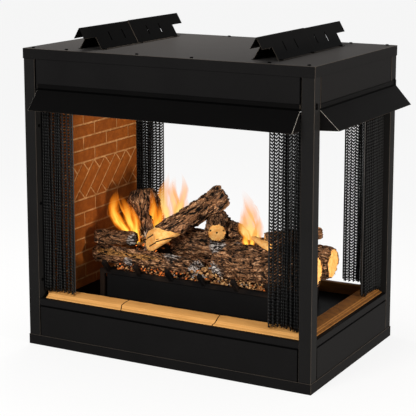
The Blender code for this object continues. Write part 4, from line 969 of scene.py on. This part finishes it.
def make_curtains():
    """Hang the five curtains and their rods."""
    for name, rail, turn, direction in (
        ("front_left", "front", 0.0, 1), ("front_right", "front", 0.0, -1),
        ("rear_left", "rear", math.pi, -1), ("rear_right", "rear", math.pi, 1),
    ):
        # the last number is the painted glint on the wires' crests
        make_curtain(name, turn, -FRONT_ROD_OUT, -direction * CURTAIN_POST, direction, 11, 0.106, 0.046)
    # the right curtain's glint is dimmer, as painted shade
    make_curtain("right", math.pi / 2, -RIGHT_ROD_OUT, RIGHT_CURTAIN_POST, -1, 14, 0.1325, 0.014)
    half, right_half = CURTAIN_POST + 0.002, RIGHT_CURTAIN_POST + 0.002
    for name, start, end in (
        ("front", (-half, -FRONT_ROD_OUT, ROD_HEIGHT), (half, -FRONT_ROD_OUT, ROD_HEIGHT)),
        ("rear", (-half, FRONT_ROD_OUT, ROD_HEIGHT), (half, FRONT_ROD_OUT, ROD_HEIGHT)),
        ("right", (RIGHT_ROD_OUT, -right_half, ROD_HEIGHT), (RIGHT_ROD_OUT, right_half, ROD_HEIGHT)),
    ):
        start, end = Vector(start), Vector(end)
        along = (end - start).normalized()
        bar = rod(start, end, ROD_RADIUS)
        cups = [
            rod(start, start + along * CUP_DEPTH, CUP_RADIUS), rod(end - along * CUP_DEPTH, end, CUP_RADIUS),
        ]
        piece = join(f"curtain_rod_{name}_round", [bar, *cups])
        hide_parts(f"curtain_rod_{name}")
        dress(piece, DARK_STEEL)
        soften(piece, 0.0006, angle=40.0)


# ---------------------------------------------------------------- grate, burner and controls


def make_burner():
    """Finish the grate, the tube, the pilot and the valve with its nuts."""
    finished("grate", "cast", IRON, "cast_black", width=0.0016, segments=3, angle=30.0)
    tube = copy_of("burner_tube", "burner_tube_drawn")
    dress(tube, BRIGHT_STEEL)
    smooth(tube, 50.0)
    finished("pilot_sensor", "hood", BRIGHT_STEEL, "plain_steel", width=0.0004)
    finished("gas_valve", "body", BRASS, "plain_steel", width=0.001, angle=40.0)
    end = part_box("gas_valve")[1].x
    nuts = [added(
        bpy.ops.mesh.primitive_cylinder_add,
        vertices=6, radius=0.0105, depth=0.006, location=(x, VALVE_Y, VALVE_Z), rotation=(0.0, math.pi / 2, 0.0),
    ) for x in (end - 0.068, end - 0.075)]
    nuts = join("gas_valve_nuts", nuts)
    dress(nuts, BRASS)
    soften(nuts, 0.0006, angle=40.0)


KNOB_RIBS = 24


def make_controls():
    """Rib the knob, and finish it and the igniter button."""
    knob = copy_of("control_knob", "control_knob_ribbed")
    parts = [knob]
    for index in range(KNOB_RIBS):
        rib = block((0.2815, -0.0004, 0.0122), (0.2915, 0.0004, 0.0136))
        rib.data.transform(Matrix.Rotation(2 * math.pi * index / KNOB_RIBS, 4, "X"))
        rib.data.transform(Matrix.Translation((0.0, VALVE_Y, VALVE_Z)))
        parts.append(rib)
    knob = join("control_knob_ribbed", parts)
    dress(knob, KNOB, "control_knob")
    soften(knob, 0.0003)
    finished("igniter_button", "cap", KNOB, "knob_black", "igniter_button", width=0.0008, segments=3)


# ---------------------------------------------------------------- logs and embers


LOG_VOXEL = 0.0026
SAWN_DEPTH = 0.004
RAGGED_END = 0.022
BARK_STRETCH = 4.4


class Log:
    """How one log is finished, round the lines that run along it.

    saws, split and wood say where its bark is off. cracks lie in its bare faces, seen along facing. ash and streak
    say where it is ashy or golden. dome and squeeze round its ends, swell widens a root, and ragged breaks an end.
    """

    def __init__(
        self, name, lines, saws=(), split=None, wood=None, cracks=(), crack=0.0030, facing=(0.0, 0.0, 0.0), ash=(),
        streak=None, plates=BARK_PLATES, relief=0.0085, dome=0.012, squeeze=0.20, swell=None, ragged=0.0,
    ):
        self.name = name
        self.lines = [(Vector(first), Vector(last), radius) for first, last, radius in lines]
        self.saws = [(Vector(spot), Vector(normal).normalized(), share) for spot, normal, share in saws]
        self.split = split
        self.wood = wood
        self.cracks = [(Vector(first), Vector(last)) for first, last in cracks]
        self.crack = crack
        self.facing = Vector(facing).normalized()
        self.ash = [(Vector(spot), reach) for spot, reach in ash]
        self.streak = streak
        self.plates = plates
        self.relief = relief
        self.dome = dome
        self.squeeze = squeeze
        self.swell = swell
        self.ragged = ragged

    def near_line(self, spot):
        """Find the nearest line: its number, the reach along and offset from it, its length, radius and direction."""
        found = []
        for number, (first, last, radius) in enumerate(self.lines):
            along = (last - first).normalized()
            reach = (spot - first).dot(along)
            offset = spot - first - along * reach
            length = (last - first).length
            score = (offset.length + max(0.0, -reach, reach - length)) / radius
            found.append((score, number, reach, offset, length, radius, along))
        return min(found, key=lambda row: row[0])[1:]

    def bareness(self, spot, number, offset, radius, ripple):
        """1 where the bark is off: on a sawn face, past the split and on a stripped arm."""
        bare = 0.0
        for place, normal, share in self.saws:
            if abs((spot - place).dot(normal)) < SAWN_DEPTH and offset.length < radius * (share + 0.03 * ripple):
                bare = 1.0
        if self.split:
            past = (spot - self.split[0]).dot(self.split[1])
            bare = max(bare, min(1.0, max(0.0, past * 400.0 + ripple)))
        if self.wood is not None and number == self.wood:
            bare = max(bare, 1.0 if offset.dot(Vector((0.2, -0.7, -0.2))) > -0.004 else 0.0)
        return bare

    def cracked(self, spot):
        """1 in the middle of a crack, and 0 away from them all."""
        return max([0.0, *(1.0 - line_gap(spot, first, last, self.facing) / self.crack for first, last in self.cracks)])

    def ashen(self, spot):
        """How thick the ash lies here, from 0 to 1."""
        return max([0.0, *(1.0 - ((spot - place).length / size) ** 2 for place, size in self.ash)])

    def streaked(self, reach, offset, ripple):
        """How much of the golden streak shows here, from 0 to 1."""
        if not self.streak:
            return 0.0
        low, high, direction, width = self.streak
        taper = min(1.0, (reach - low) / 0.03, (high - reach) / 0.07)
        if taper <= 0.0:
            return 0.0
        facing = offset.normalized().dot(Vector(direction).normalized()) if offset.length > 0.001 else 0.0
        edge = 1.0 - width * taper + 0.06 * noise.noise(Vector((reach * 22.0, 0.0, 0.0))) + 0.04 * ripple
        return max(0.0, min(1.0, (facing - edge) / 0.05))

    def shaped(self, spot, number, reach, offset, length, along, bare):
        """Where a point goes: in at a rounded end, out at a swollen root, and back at a ragged end."""
        place = spot
        to_end = min(reach, length - reach)
        if to_end < self.dome and bare < 0.01:
            gone = 1.0 - max(0.0, to_end) / self.dome
            place = spot - offset * self.squeeze * gone * gone
        if self.swell and number == self.swell[0] and reach < self.swell[2]:
            place = spot + offset * self.swell[1] * (1.0 - reach / self.swell[2])
        if self.ragged and length - reach < RAGGED_END:
            place = place - along * self.ragged * max(0.0, 0.4 + noise.noise(offset * 110.0))
        return place


def lie(reach, offset, along):
    """Where a point lies on its log: across, up, and along it, where the bark's plates are longer."""
    level = along.cross(Vector((0.0, 0.0, 1.0)))
    level = level.normalized() if level.length > 0.3 else Vector((1.0, 0.0, 0.0))
    return Vector((offset.dot(level), offset.dot(along.cross(level)), reach / BARK_STRETCH))


def bark_height(spot, place, plates):
    """How far the bark stands out here, from 0 in a furrow to 1 on a crest. Its plates run along the log."""
    place = place + noise.noise_vector(spot * 36.0) * 0.0075
    wide, _ = noise.voronoi(place * plates)
    narrow, _ = noise.voronoi(place * plates * 2.3)
    plate = min(1.0, (wide[1] - wide[0]) * 2.3)
    sliver = min(1.0, (narrow[1] - narrow[0]) * 2.0)
    lump = noise.noise(spot * 24.0) * 0.5 + 0.5
    fine = noise.fractal(spot * 200.0, 1.0, 2.0, 3) * 0.5 + 0.5
    return max(0.0, min(1.0, 0.50 * plate + 0.24 * sliver + 0.20 * lump + 0.16 * fine))


def line_gap(spot, first, last, facing):
    """How far a point is from a short line, seen along a direction."""
    along = last - first
    share = max(0.0, min(1.0, (spot - first).dot(along) / along.length_squared))
    gap = spot - first - along * share
    return (gap - facing * gap.dot(facing)).length


def make_log(log):
    """Carve one log from its CAD node: remeshed, its bark raised and its sawn faces left flat."""
    piece = copy_of(log.name, f"{log.name}_carved")
    apply(piece, "REMESH", mode="VOXEL", voxel_size=LOG_VOXEL)
    apply(piece, "SMOOTH", factor=0.6, iterations=4)
    spots = places_of(piece)
    count = len(spots)
    heights, bare, ash, streaks, cracks = (np.zeros(count) for _ in range(5))
    lays = np.zeros((count, 3))
    moved = spots.copy()
    for index in range(count):
        spot = Vector(spots[index])
        number, reach, offset, length, radius, along = log.near_line(spot)
        ripple = noise.noise(spot * 70.0)
        place = lie(reach, offset, along)
        lays[index] = place * (log.plates / LAY_PLATES)
        heights[index] = bark_height(spot, place, log.plates)
        bare[index] = log.bareness(spot, number, offset, radius, ripple)
        cracks[index] = log.cracked(spot)
        ash[index] = log.ashen(spot)
        streaks[index] = log.streaked(reach, offset, ripple)
        moved[index] = log.shaped(spot, number, reach, offset, length, along, bare[index])
    move_to(piece, moved)
    for kept, values in (("height", heights), ("bare", bare), ("ash", ash), ("streak", streaks), ("crack", cracks)):
        mark(piece, kept, np.clip(values, 0.0, 1.0))
    piece.data.attributes.new("lay", "FLOAT_VECTOR", "POINT").data.foreach_set("vector", lays.ravel())
    raised = piece.vertex_groups.new(name="raised")
    sunk = piece.vertex_groups.new(name="sunk")
    for index in range(count):
        raised.add([index], float(heights[index] * (1.0 - bare[index])), "REPLACE")
        sunk.add([index], float(min(1.0, 1.0 - bare[index] * 0.6 + cracks[index])), "REPLACE")
    apply(piece, "DISPLACE", strength=log.relief, mid_level=0.0, vertex_group="raised")
    apply(piece, "DISPLACE", strength=-log.relief * 0.55, mid_level=0.0, vertex_group="sunk")
    piece.vertex_groups.clear()
    dress(piece, BARK)
    smooth(piece)


def sawn(first, last, share):
    """Describe a face sawn square across a log at its first end, its bare wood inside a ring of bark."""
    return (first, tuple(a - b for a, b in zip(first, last)), share)


def pin_hole(x, y, z):
    """Describe a pin hole in a sawn face, as a crack that is almost a point."""
    return ((x, y, z), (x + 0.0003, y, z + 0.0002))


def make_logs():
    """Carve the eight logs. Each line is its first end, its last end and its radius."""
    front_left = ((-0.387, -0.064, 0.2473), (0.012, -0.0688, 0.2453), 0.028)
    front_right = ((0.045, -0.050, 0.2743), (0.375, -0.055, 0.2803), 0.059)
    back = ((-0.1699, 0.075, 0.2733), (0.3649, 0.1001, 0.2683), 0.053)
    leaning = ((-0.2548, 0.060, 0.2213), (-0.300, 0.0899, 0.4303), 0.050)
    stacked = ((-0.3941, -0.050, 0.2961), (-0.2598, -0.0199, 0.2961), 0.0235)
    cross = ((-0.2109, -0.0871, 0.2844), (-0.0198, 0.120, 0.4384), 0.035)
    stub = ((0.0178, 0.000, 0.3444), (-0.0478, 0.130, 0.3614), 0.033)
    branch = ((0.0701, 0.0451, 0.3429), (-0.0118, 0.140, 0.3389), 0.0175)
    forked = ((0.2048, -0.0441, 0.3552), (0.3449, 0.060, 0.3702), 0.0205)
    arm = ((0.1601, -0.040, 0.3552), (0.2431, -0.075, 0.3392), 0.012)
    split = (Vector((-0.1385, -0.0086, 0.3347)), Vector((-0.184, -0.226, -0.956)))
    for log in (
        Log(
            "log_front_left", [front_left],
            ash=[((0.000, -0.088, 0.240), 0.046), ((-0.250, -0.090, 0.238), 0.024), ((-0.10, -0.055, 0.272), 0.05)],
            streak=(0.0, 0.27, (0.0, -0.82, 0.57), 0.085), relief=0.0075, ragged=0.016,
        ),
        Log(
            "log_front_right", [front_right], saws=[sawn(front_right[1], front_right[0], 0.86)],
            ash=[((0.052, -0.095, 0.248), 0.050), ((0.055, -0.07, 0.325), 0.040), ((0.11, -0.02, 0.335), 0.035)],
            plates=90.0, relief=0.0095,
        ),
        Log(
            "log_back", [back], saws=[sawn(back[1], back[0], 0.86)],
            ash=[((0.0, 0.030, 0.300), 0.04)], plates=84.0,
        ),
        Log(
            "log_leaning", [leaning], ash=[((-0.270, 0.045, 0.285), 0.06)], dome=0.045, squeeze=0.42, plates=84.0,
        ),
        Log("log_stacked", [stacked], ash=[((-0.262, -0.035, 0.290), 0.034)], relief=0.0065, plates=104.0),
        Log(
            "log_cross", [cross], split=split, facing=(0.4821, 0.876, 0.0179),
            cracks=[
                ((-0.1969, -0.0538, 0.2864), (-0.1183, -0.0980, 0.3325)),
                ((-0.2205, -0.0411, 0.3024), (-0.1742, -0.0672, 0.3297)),
                pin_hole(-0.1312, -0.0911, 0.3445), pin_hole(-0.1546, -0.0777, 0.3185),
            ],
            plates=62.0, relief=0.0110,
        ),
        Log(
            "log_round", [stub, branch], saws=[sawn(stub[0], stub[1], 0.84)],
            facing=(-0.4469, 0.887, 0.116),
            cracks=[
                pin_hole(0.0009, -0.0093, 0.3505), pin_hole(0.0184, 0.0004, 0.3435), pin_hole(0.0381, 0.0094, 0.3508),
            ],
            relief=0.0075, plates=80.0, swell=(1, 0.6, 0.10), crack=0.0048,
        ),
        Log(
            "log_forked", [forked, arm], saws=[sawn(forked[0], forked[1], 0.9)], wood=1,
            plates=110.0, relief=0.0055,
        ),
    ):
        make_log(log)


def chip_shape(luck):
    """Model one ember chip: a small faceted lump."""
    chip = added(bpy.ops.mesh.primitive_ico_sphere_add, subdivisions=1, radius=1.0)
    move_to(chip, [spot * luck.uniform(0.68, 1.2) for spot in places_of(chip)])
    return chip


BED_VOXEL = 0.005
CHIP_SHAPES = 6
CHIP_SIZES = (0.0026, 0.0050)
MOUND_MIDDLE = (-0.186, 0.046, 0.248)


def make_ember_bed():
    """Roughen the bed under the chips, hottest on its left half."""
    bed = copy_of("ember_bed", "ember_bed_felt")
    apply(bed, "REMESH", mode="VOXEL", voxel_size=BED_VOXEL)
    spots = places_of(bed)
    low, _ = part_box("ember_bed")
    for spot in spots:
        if spot[2] > low.z + 0.006:
            spot[2] += noise.noise(Vector(spot) * 90.0) * 0.003 - 0.001
    move_to(bed, spots)
    tones, heats = [], []
    for spot in spots:
        left = spot[0] < 0.0
        tones.append((0.05 if left else 0.2) + 0.3 * max(0.0, noise.noise(Vector(spot) * 60.0)))
        heats.append((0.36 if left else 0.2) + 0.9 * noise.noise(Vector(spot) * 50.0))
    mark(bed, "tone", tones)
    mark(bed, "glowing", heats)
    dress(bed, EMBER)
    smooth(bed)


def make_shade_mound():
    """Heap a black mound between the stacked, leaning and cross logs: painted shade that fills the dark hollow there,
    glowing in places.
    """
    mound = added(
        bpy.ops.mesh.primitive_ico_sphere_add,
        subdivisions=5, radius=1.0, location=MOUND_MIDDLE, scale=(0.034, 0.042, 0.044),
    )
    mound.name = "ember_mound_shade"
    spots = places_of(mound)
    middle = Vector(MOUND_MIDDLE)
    for index, spot in enumerate(spots):
        swelling = 1.0 + 0.16 * noise.noise(Vector(spot) * 45.0) + 0.08 * noise.noise(Vector(spot) * 130.0)
        spots[index] = middle + (Vector(spot) - middle) * swelling
    low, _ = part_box("ember_bed")
    spots[:, 2] = np.maximum(spots[:, 2], low.z + 0.012)
    move_to(mound, spots)
    mark_all(mound, "tone", 0.03)
    mark(mound, "glowing", [0.30 + 0.8 * noise.noise(Vector(spot) * 60.0) for spot in spots])
    dress(mound, EMBER)
    smooth(mound)


def chip_places(luck):
    """Scatter the chips: where each lies, its size, and its chances to glow and to be blackened, as char and, over the
    mound and in the gap over the back log, as painted shade.
    """
    low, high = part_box("ember_bed")
    spots = []
    # a bank along the front
    for _ in range(620):
        x = luck.uniform(low.x + 0.004, high.x - 0.004)
        y = luck.uniform(-0.121, -0.078)
        rise = max(0.0, (y + 0.121) / 0.043)
        warmth, blackening = (0.50, 0.55) if x < -0.01 else (0.04, 0.16)
        spots.append((x, y, luck.uniform(0.214, 0.2215 + 0.016 * rise), 0.95, warmth, blackening))
    # a heap between the two front logs
    for _ in range(170):
        x = luck.gauss(0.022, 0.020)
        y = luck.uniform(-0.115, -0.02)
        top = 0.254 - abs(x - 0.022) * 0.3
        spots.append((max(-0.02, min(0.062, x)), y, luck.uniform(0.215, top), 1.25, 0.10, 0.10))
    # a thin layer over the rest
    for _ in range(240):
        x = luck.uniform(low.x + 0.004, high.x - 0.004)
        spots.append((x, luck.uniform(-0.02, 0.118), luck.uniform(0.214, 0.224), 1.1, 0.3, 0.3))
    # warm ones behind the front right log
    for _ in range(90):
        spots.append((luck.uniform(0.09, 0.20), luck.uniform(-0.02, 0.03), luck.uniform(0.215, 0.240), 1.2, 0.6, 0.3))
    # blackened ones over the mound, painted shade like the mound
    for _ in range(190):
        x, y = luck.uniform(-0.222, -0.160), luck.uniform(-0.010, 0.066)
        top = 0.292 - 1.0 * max(0.0, abs(x + 0.190) - 0.008, abs(y - 0.040) - 0.010)
        spots.append((x, y, luck.uniform(0.216, max(0.220, top)), 1.7, 0.04, 0.93))
    # hot ones in front of the leaning log's foot
    for _ in range(46):
        x = luck.uniform(-0.268, -0.240)
        spots.append((x, luck.uniform(-0.016, 0.016), luck.uniform(0.220, 0.300), 1.15, 0.85, 0.25))
    # black ones in the gap over the back log: painted shade that closes the gap
    for _ in range(30):
        spots.append((luck.gauss(0.012, 0.005), luck.gauss(0.084, 0.006), luck.uniform(0.312, 0.333), 2.0, 0.0, 1.0))
    return spots


def make_chips():
    """Copy a few shapes of chip over the bed, each copy of its own size, turn, colour and heat."""
    luck = random.Random(31)
    shapes = [chip_shape(luck) for _ in range(CHIP_SHAPES)]
    chips = []
    for x, y, z, size, warmth, blackening in chip_places(luck):
        scale = luck.uniform(*CHIP_SIZES) * size
        turn = Matrix.Rotation(luck.uniform(0.0, 6.28), 4, Vector((luck.random(), luck.random(), luck.random() + 0.1)))
        squash = Matrix.Diagonal((scale, scale * luck.uniform(0.6, 1.0), scale * luck.uniform(0.55, 0.9), 1.0))
        chip = copy_at(shapes[luck.randrange(CHIP_SHAPES)], Matrix.Translation((x, y, z)) @ turn @ squash)
        mark_all(chip, "tone", 0.02 if luck.random() < blackening else luck.uniform(0.12, 1.0))
        mark_all(chip, "glowing", luck.uniform(0.52, 0.9) if luck.random() < warmth * 0.5 else luck.uniform(0.0, 0.5))
        chips.append(chip)
    dress(join("ember_chips", chips), EMBER)
    for shape in shapes:
        remove(shape)


# ---------------------------------------------------------------- flames


def tongue(foot, knee, tip, width, turn):
    """Shape one tongue of flame: a leaf of a sheet that bends by its knee and ends in a point."""
    sheet = added(bpy.ops.mesh.primitive_grid_add, x_subdivisions=8, y_subdivisions=28, size=1.0)
    foot, knee, tip = Vector(foot), Vector(knee), Vector(tip)
    spots = places_of(sheet)
    shares = spots[:, :2] + 0.5
    side = Vector((math.cos(turn), math.sin(turn), 0.0))
    back = Vector((-side.y, side.x, 0.0))
    moved = []
    for across, up in shares:
        middle = foot.lerp(knee, up).lerp(knee.lerp(tip, up), up)
        belly = 1.95 * (up + 0.04) ** 0.60 * (1.0 - up) ** 0.85 + 0.02
        sway = 0.10 * width * math.sin(8.0 * up + turn * 3.0 + foot.x * 90.0) * up
        curl = 0.22 * width * math.sin(5.0 * up + 2.0 * across + turn)
        moved.append(middle + side * ((across - 0.5) * width * belly + sway) + back * curl)
    move_to(sheet, moved)
    map_cloth(sheet, shares)
    return sheet


FLAME_FACING = math.radians(28.5)


def make_flames():
    """Raise the flames from the burner, each of a few crossing tongues: foot, knee, tip, width and turn."""
    groups = {
        "flame_left": (FLAME, [
            ((-0.270, 0.004, 0.272), (-0.408, 0.002, 0.376), (-0.339, 0.004, 0.442), 0.064, 0.0),
            ((-0.270, 0.008, 0.272), (-0.343, 0.008, 0.335), (-0.376, 0.008, 0.396), 0.040, 0.2),
            ((-0.268, 0.002, 0.272), (-0.302, 0.002, 0.366), (-0.329, 0.002, 0.428), 0.052, -0.1),
            ((-0.268, 0.000, 0.272), (-0.272, 0.000, 0.343), (-0.294, 0.002, 0.408), 0.036, 0.3),
            ((-0.270, 0.010, 0.272), (-0.330, 0.010, 0.350), (-0.335, 0.012, 0.416), 0.050, 1.5),
        ]),
        "flame_middle": (FLAME, [
            ((-0.266, 0.054, 0.262), (-0.225, 0.056, 0.320), (-0.228, 0.058, 0.392), 0.066, 0.0),
            ((-0.268, 0.052, 0.264), (-0.238, 0.054, 0.350), (-0.247, 0.056, 0.450), 0.048, 0.1),
            ((-0.262, 0.056, 0.268), (-0.200, 0.058, 0.330), (-0.220, 0.058, 0.416), 0.040, -0.3),
            ((-0.264, 0.050, 0.268), (-0.215, 0.050, 0.300), (-0.208, 0.052, 0.372), 0.034, 0.3),
            ((-0.266, 0.058, 0.268), (-0.235, 0.060, 0.330), (-0.236, 0.062, 0.406), 0.040, 1.5),
        ]),
        "flame_behind": (FLAME_PALE, [
            ((-0.222, 0.139, 0.300), (-0.275, 0.140, 0.390), (-0.240, 0.142, 0.486), 0.066, 0.1),
            ((-0.220, 0.143, 0.300), (-0.205, 0.143, 0.400), (-0.222, 0.144, 0.474), 0.060, -0.3),
            ((-0.214, 0.137, 0.300), (-0.170, 0.138, 0.400), (-0.184, 0.140, 0.492), 0.056, 0.3),
            ((-0.208, 0.143, 0.300), (-0.180, 0.143, 0.350), (-0.194, 0.142, 0.430), 0.034, 0.0),
            ((-0.206, 0.139, 0.300), (-0.150, 0.140, 0.340), (-0.172, 0.140, 0.414), 0.034, -0.2),
            ((-0.216, 0.145, 0.300), (-0.210, 0.148, 0.390), (-0.212, 0.150, 0.460), 0.060, 1.5),
            ((-0.216, 0.126, 0.221), (-0.214, 0.134, 0.280), (-0.216, 0.141, 0.352), 0.070, 0.0),
            ((-0.214, 0.128, 0.221), (-0.214, 0.134, 0.270), (-0.214, 0.142, 0.340), 0.046, 1.5),
        ]),
        "flame_right": (FLAME_PALE, [
            ((0.148, -0.010, 0.334), (0.150, -0.010, 0.380), (0.117, -0.010, 0.494), 0.096, 0.0),
            ((0.140, -0.008, 0.334), (0.104, -0.008, 0.366), (0.108, -0.008, 0.440), 0.046, 0.1),
            ((0.152, -0.012, 0.334), (0.186, -0.012, 0.356), (0.152, -0.010, 0.440), 0.050, -0.1),
            ((0.146, -0.004, 0.334), (0.140, -0.002, 0.390), (0.124, 0.000, 0.470), 0.060, 1.5),
        ]),
        "flame_low": (FLAME, [
            ((0.146, -0.022, 0.306), (0.120, -0.022, 0.340), (0.130, -0.022, 0.372), 0.030, 0.1),
            ((0.147, -0.020, 0.306), (0.150, -0.020, 0.340), (0.166, -0.020, 0.374), 0.026, -0.2),
            ((0.148, -0.018, 0.306), (0.140, -0.018, 0.330), (0.146, -0.018, 0.366), 0.026, 1.5),
        ]),
    }
    for name, (finish, tongues) in groups.items():
        piece = join(name, [tongue(*shape[:4], FLAME_FACING + shape[4]) for shape in tongues])
        dress(piece, finish)
        smooth(piece)


# ---------------------------------------------------------------- studio


def seen_rays(tree):
    """1 for a ray that is seen, straight or in a sheen or through a surface, and 0 for light that fills."""
    path = add_node(tree, "ShaderNodeLightPath")
    camera, glossy, through = (path.outputs[f"Is {kind} Ray"] for kind in ("Camera", "Glossy", "Transmission"))
    return Amount(tree, camera).most(glossy).most(through)


def make_studio():
    """Lay the pale floor under a pale sky."""
    floor = added(bpy.ops.mesh.primitive_plane_add, size=80.0)
    floor.name = "studio_floor"
    paper = Finish("studio_paper", Roughness=0.9, Specular_IOR_Level=0.1)
    paper.shader.inputs["Base Color"].default_value = (0.93, 0.93, 0.93, 1.0)
    glow = paper.node("ShaderNodeEmission", None, {"Color": (1.0, 1.0, 1.0, 1.0), "Strength": 1.0})
    shades = {0: seen_rays(paper.tree) * 0.84, 1: paper.shader.outputs[0], 2: glow}
    mix = paper.node("ShaderNodeMixShader", None, shades)
    put(paper.tree, paper.tree.nodes["Material Output"].inputs["Surface"], mix)
    floor.data.materials.append(paper.material)
    world = bpy.data.worlds.new("studio_air")
    bpy.context.scene.world = world
    world.use_nodes = True
    sky = world.node_tree.nodes["Background"]
    sky.inputs["Color"].default_value = (1.0, 1.0, 1.0, 1.0)
    put(world.node_tree, sky.inputs["Strength"], seen_rays(world.node_tree) * 0.5 + 0.5)


def make_lamps():
    """Hang the soft lamps: one that warms the right end, one in front, and one over the top."""
    for name, place, aim, size, power, colour in (
        ("key", (2.70, -0.62, 0.46), (0.0, 0.0, 0.40), 0.35, 60.0, (1.0, 0.92, 0.82)),
        ("front", (-0.4, -3.6, 2.2), (0.0, 0.0, 0.4), 1.2, 90.0, (1.0, 0.98, 0.95)),
        ("top", (-0.45, 0.35, 1.90), (-0.35, 0.20, 0.92), 0.7, 18.0, (1.0, 0.96, 0.91)),
    ):
        lamp = bpy.data.lights.new(name, "AREA")
        lamp.size, lamp.energy, lamp.color = size, power, colour
        holder = bpy.data.objects.new(name, lamp)
        bpy.context.scene.collection.objects.link(holder)
        holder.location = place
        holder.rotation_euler = (Vector(aim) - Vector(place)).to_track_quat("-Z", "Y").to_euler()


def make_camera():
    """Set the camera where the photograph was taken from."""
    yaw, pitch = math.radians(CAMERA_YAW), math.radians(CAMERA_PITCH)
    forward = Vector((-math.sin(yaw) * math.cos(pitch), math.cos(yaw) * math.cos(pitch), -math.sin(pitch)))
    right = Vector((math.cos(yaw), math.sin(yaw), 0.0))
    upward = right.cross(forward)
    camera = bpy.data.cameras.new("photo_camera")
    camera.sensor_width = SENSOR_WIDTH
    camera.lens = FOCAL_PIXELS / PHOTO_SIDE * SENSOR_WIDTH
    camera.shift_y = -SHIFT_PIXELS / PHOTO_SIDE
    camera.clip_start, camera.clip_end = 0.05, 200.0
    holder = bpy.data.objects.new("photo_camera", camera)
    bpy.context.scene.collection.objects.link(holder)
    turn = Matrix((right, upward, -forward)).transposed().to_4x4()
    holder.matrix_world = Matrix.Translation(CAMERA_PLACE) @ turn
    bpy.context.scene.camera = holder
    bpy.context.scene.view_settings.view_transform = "Standard"


make_studio()
make_lamps()
make_camera()
make_cabinet()
make_panels()
make_screws()
make_liner()
make_ledges()
make_curtains()
make_burner()
make_controls()
make_logs()
make_ember_bed()
make_shade_mound()
make_chips()
make_flames()
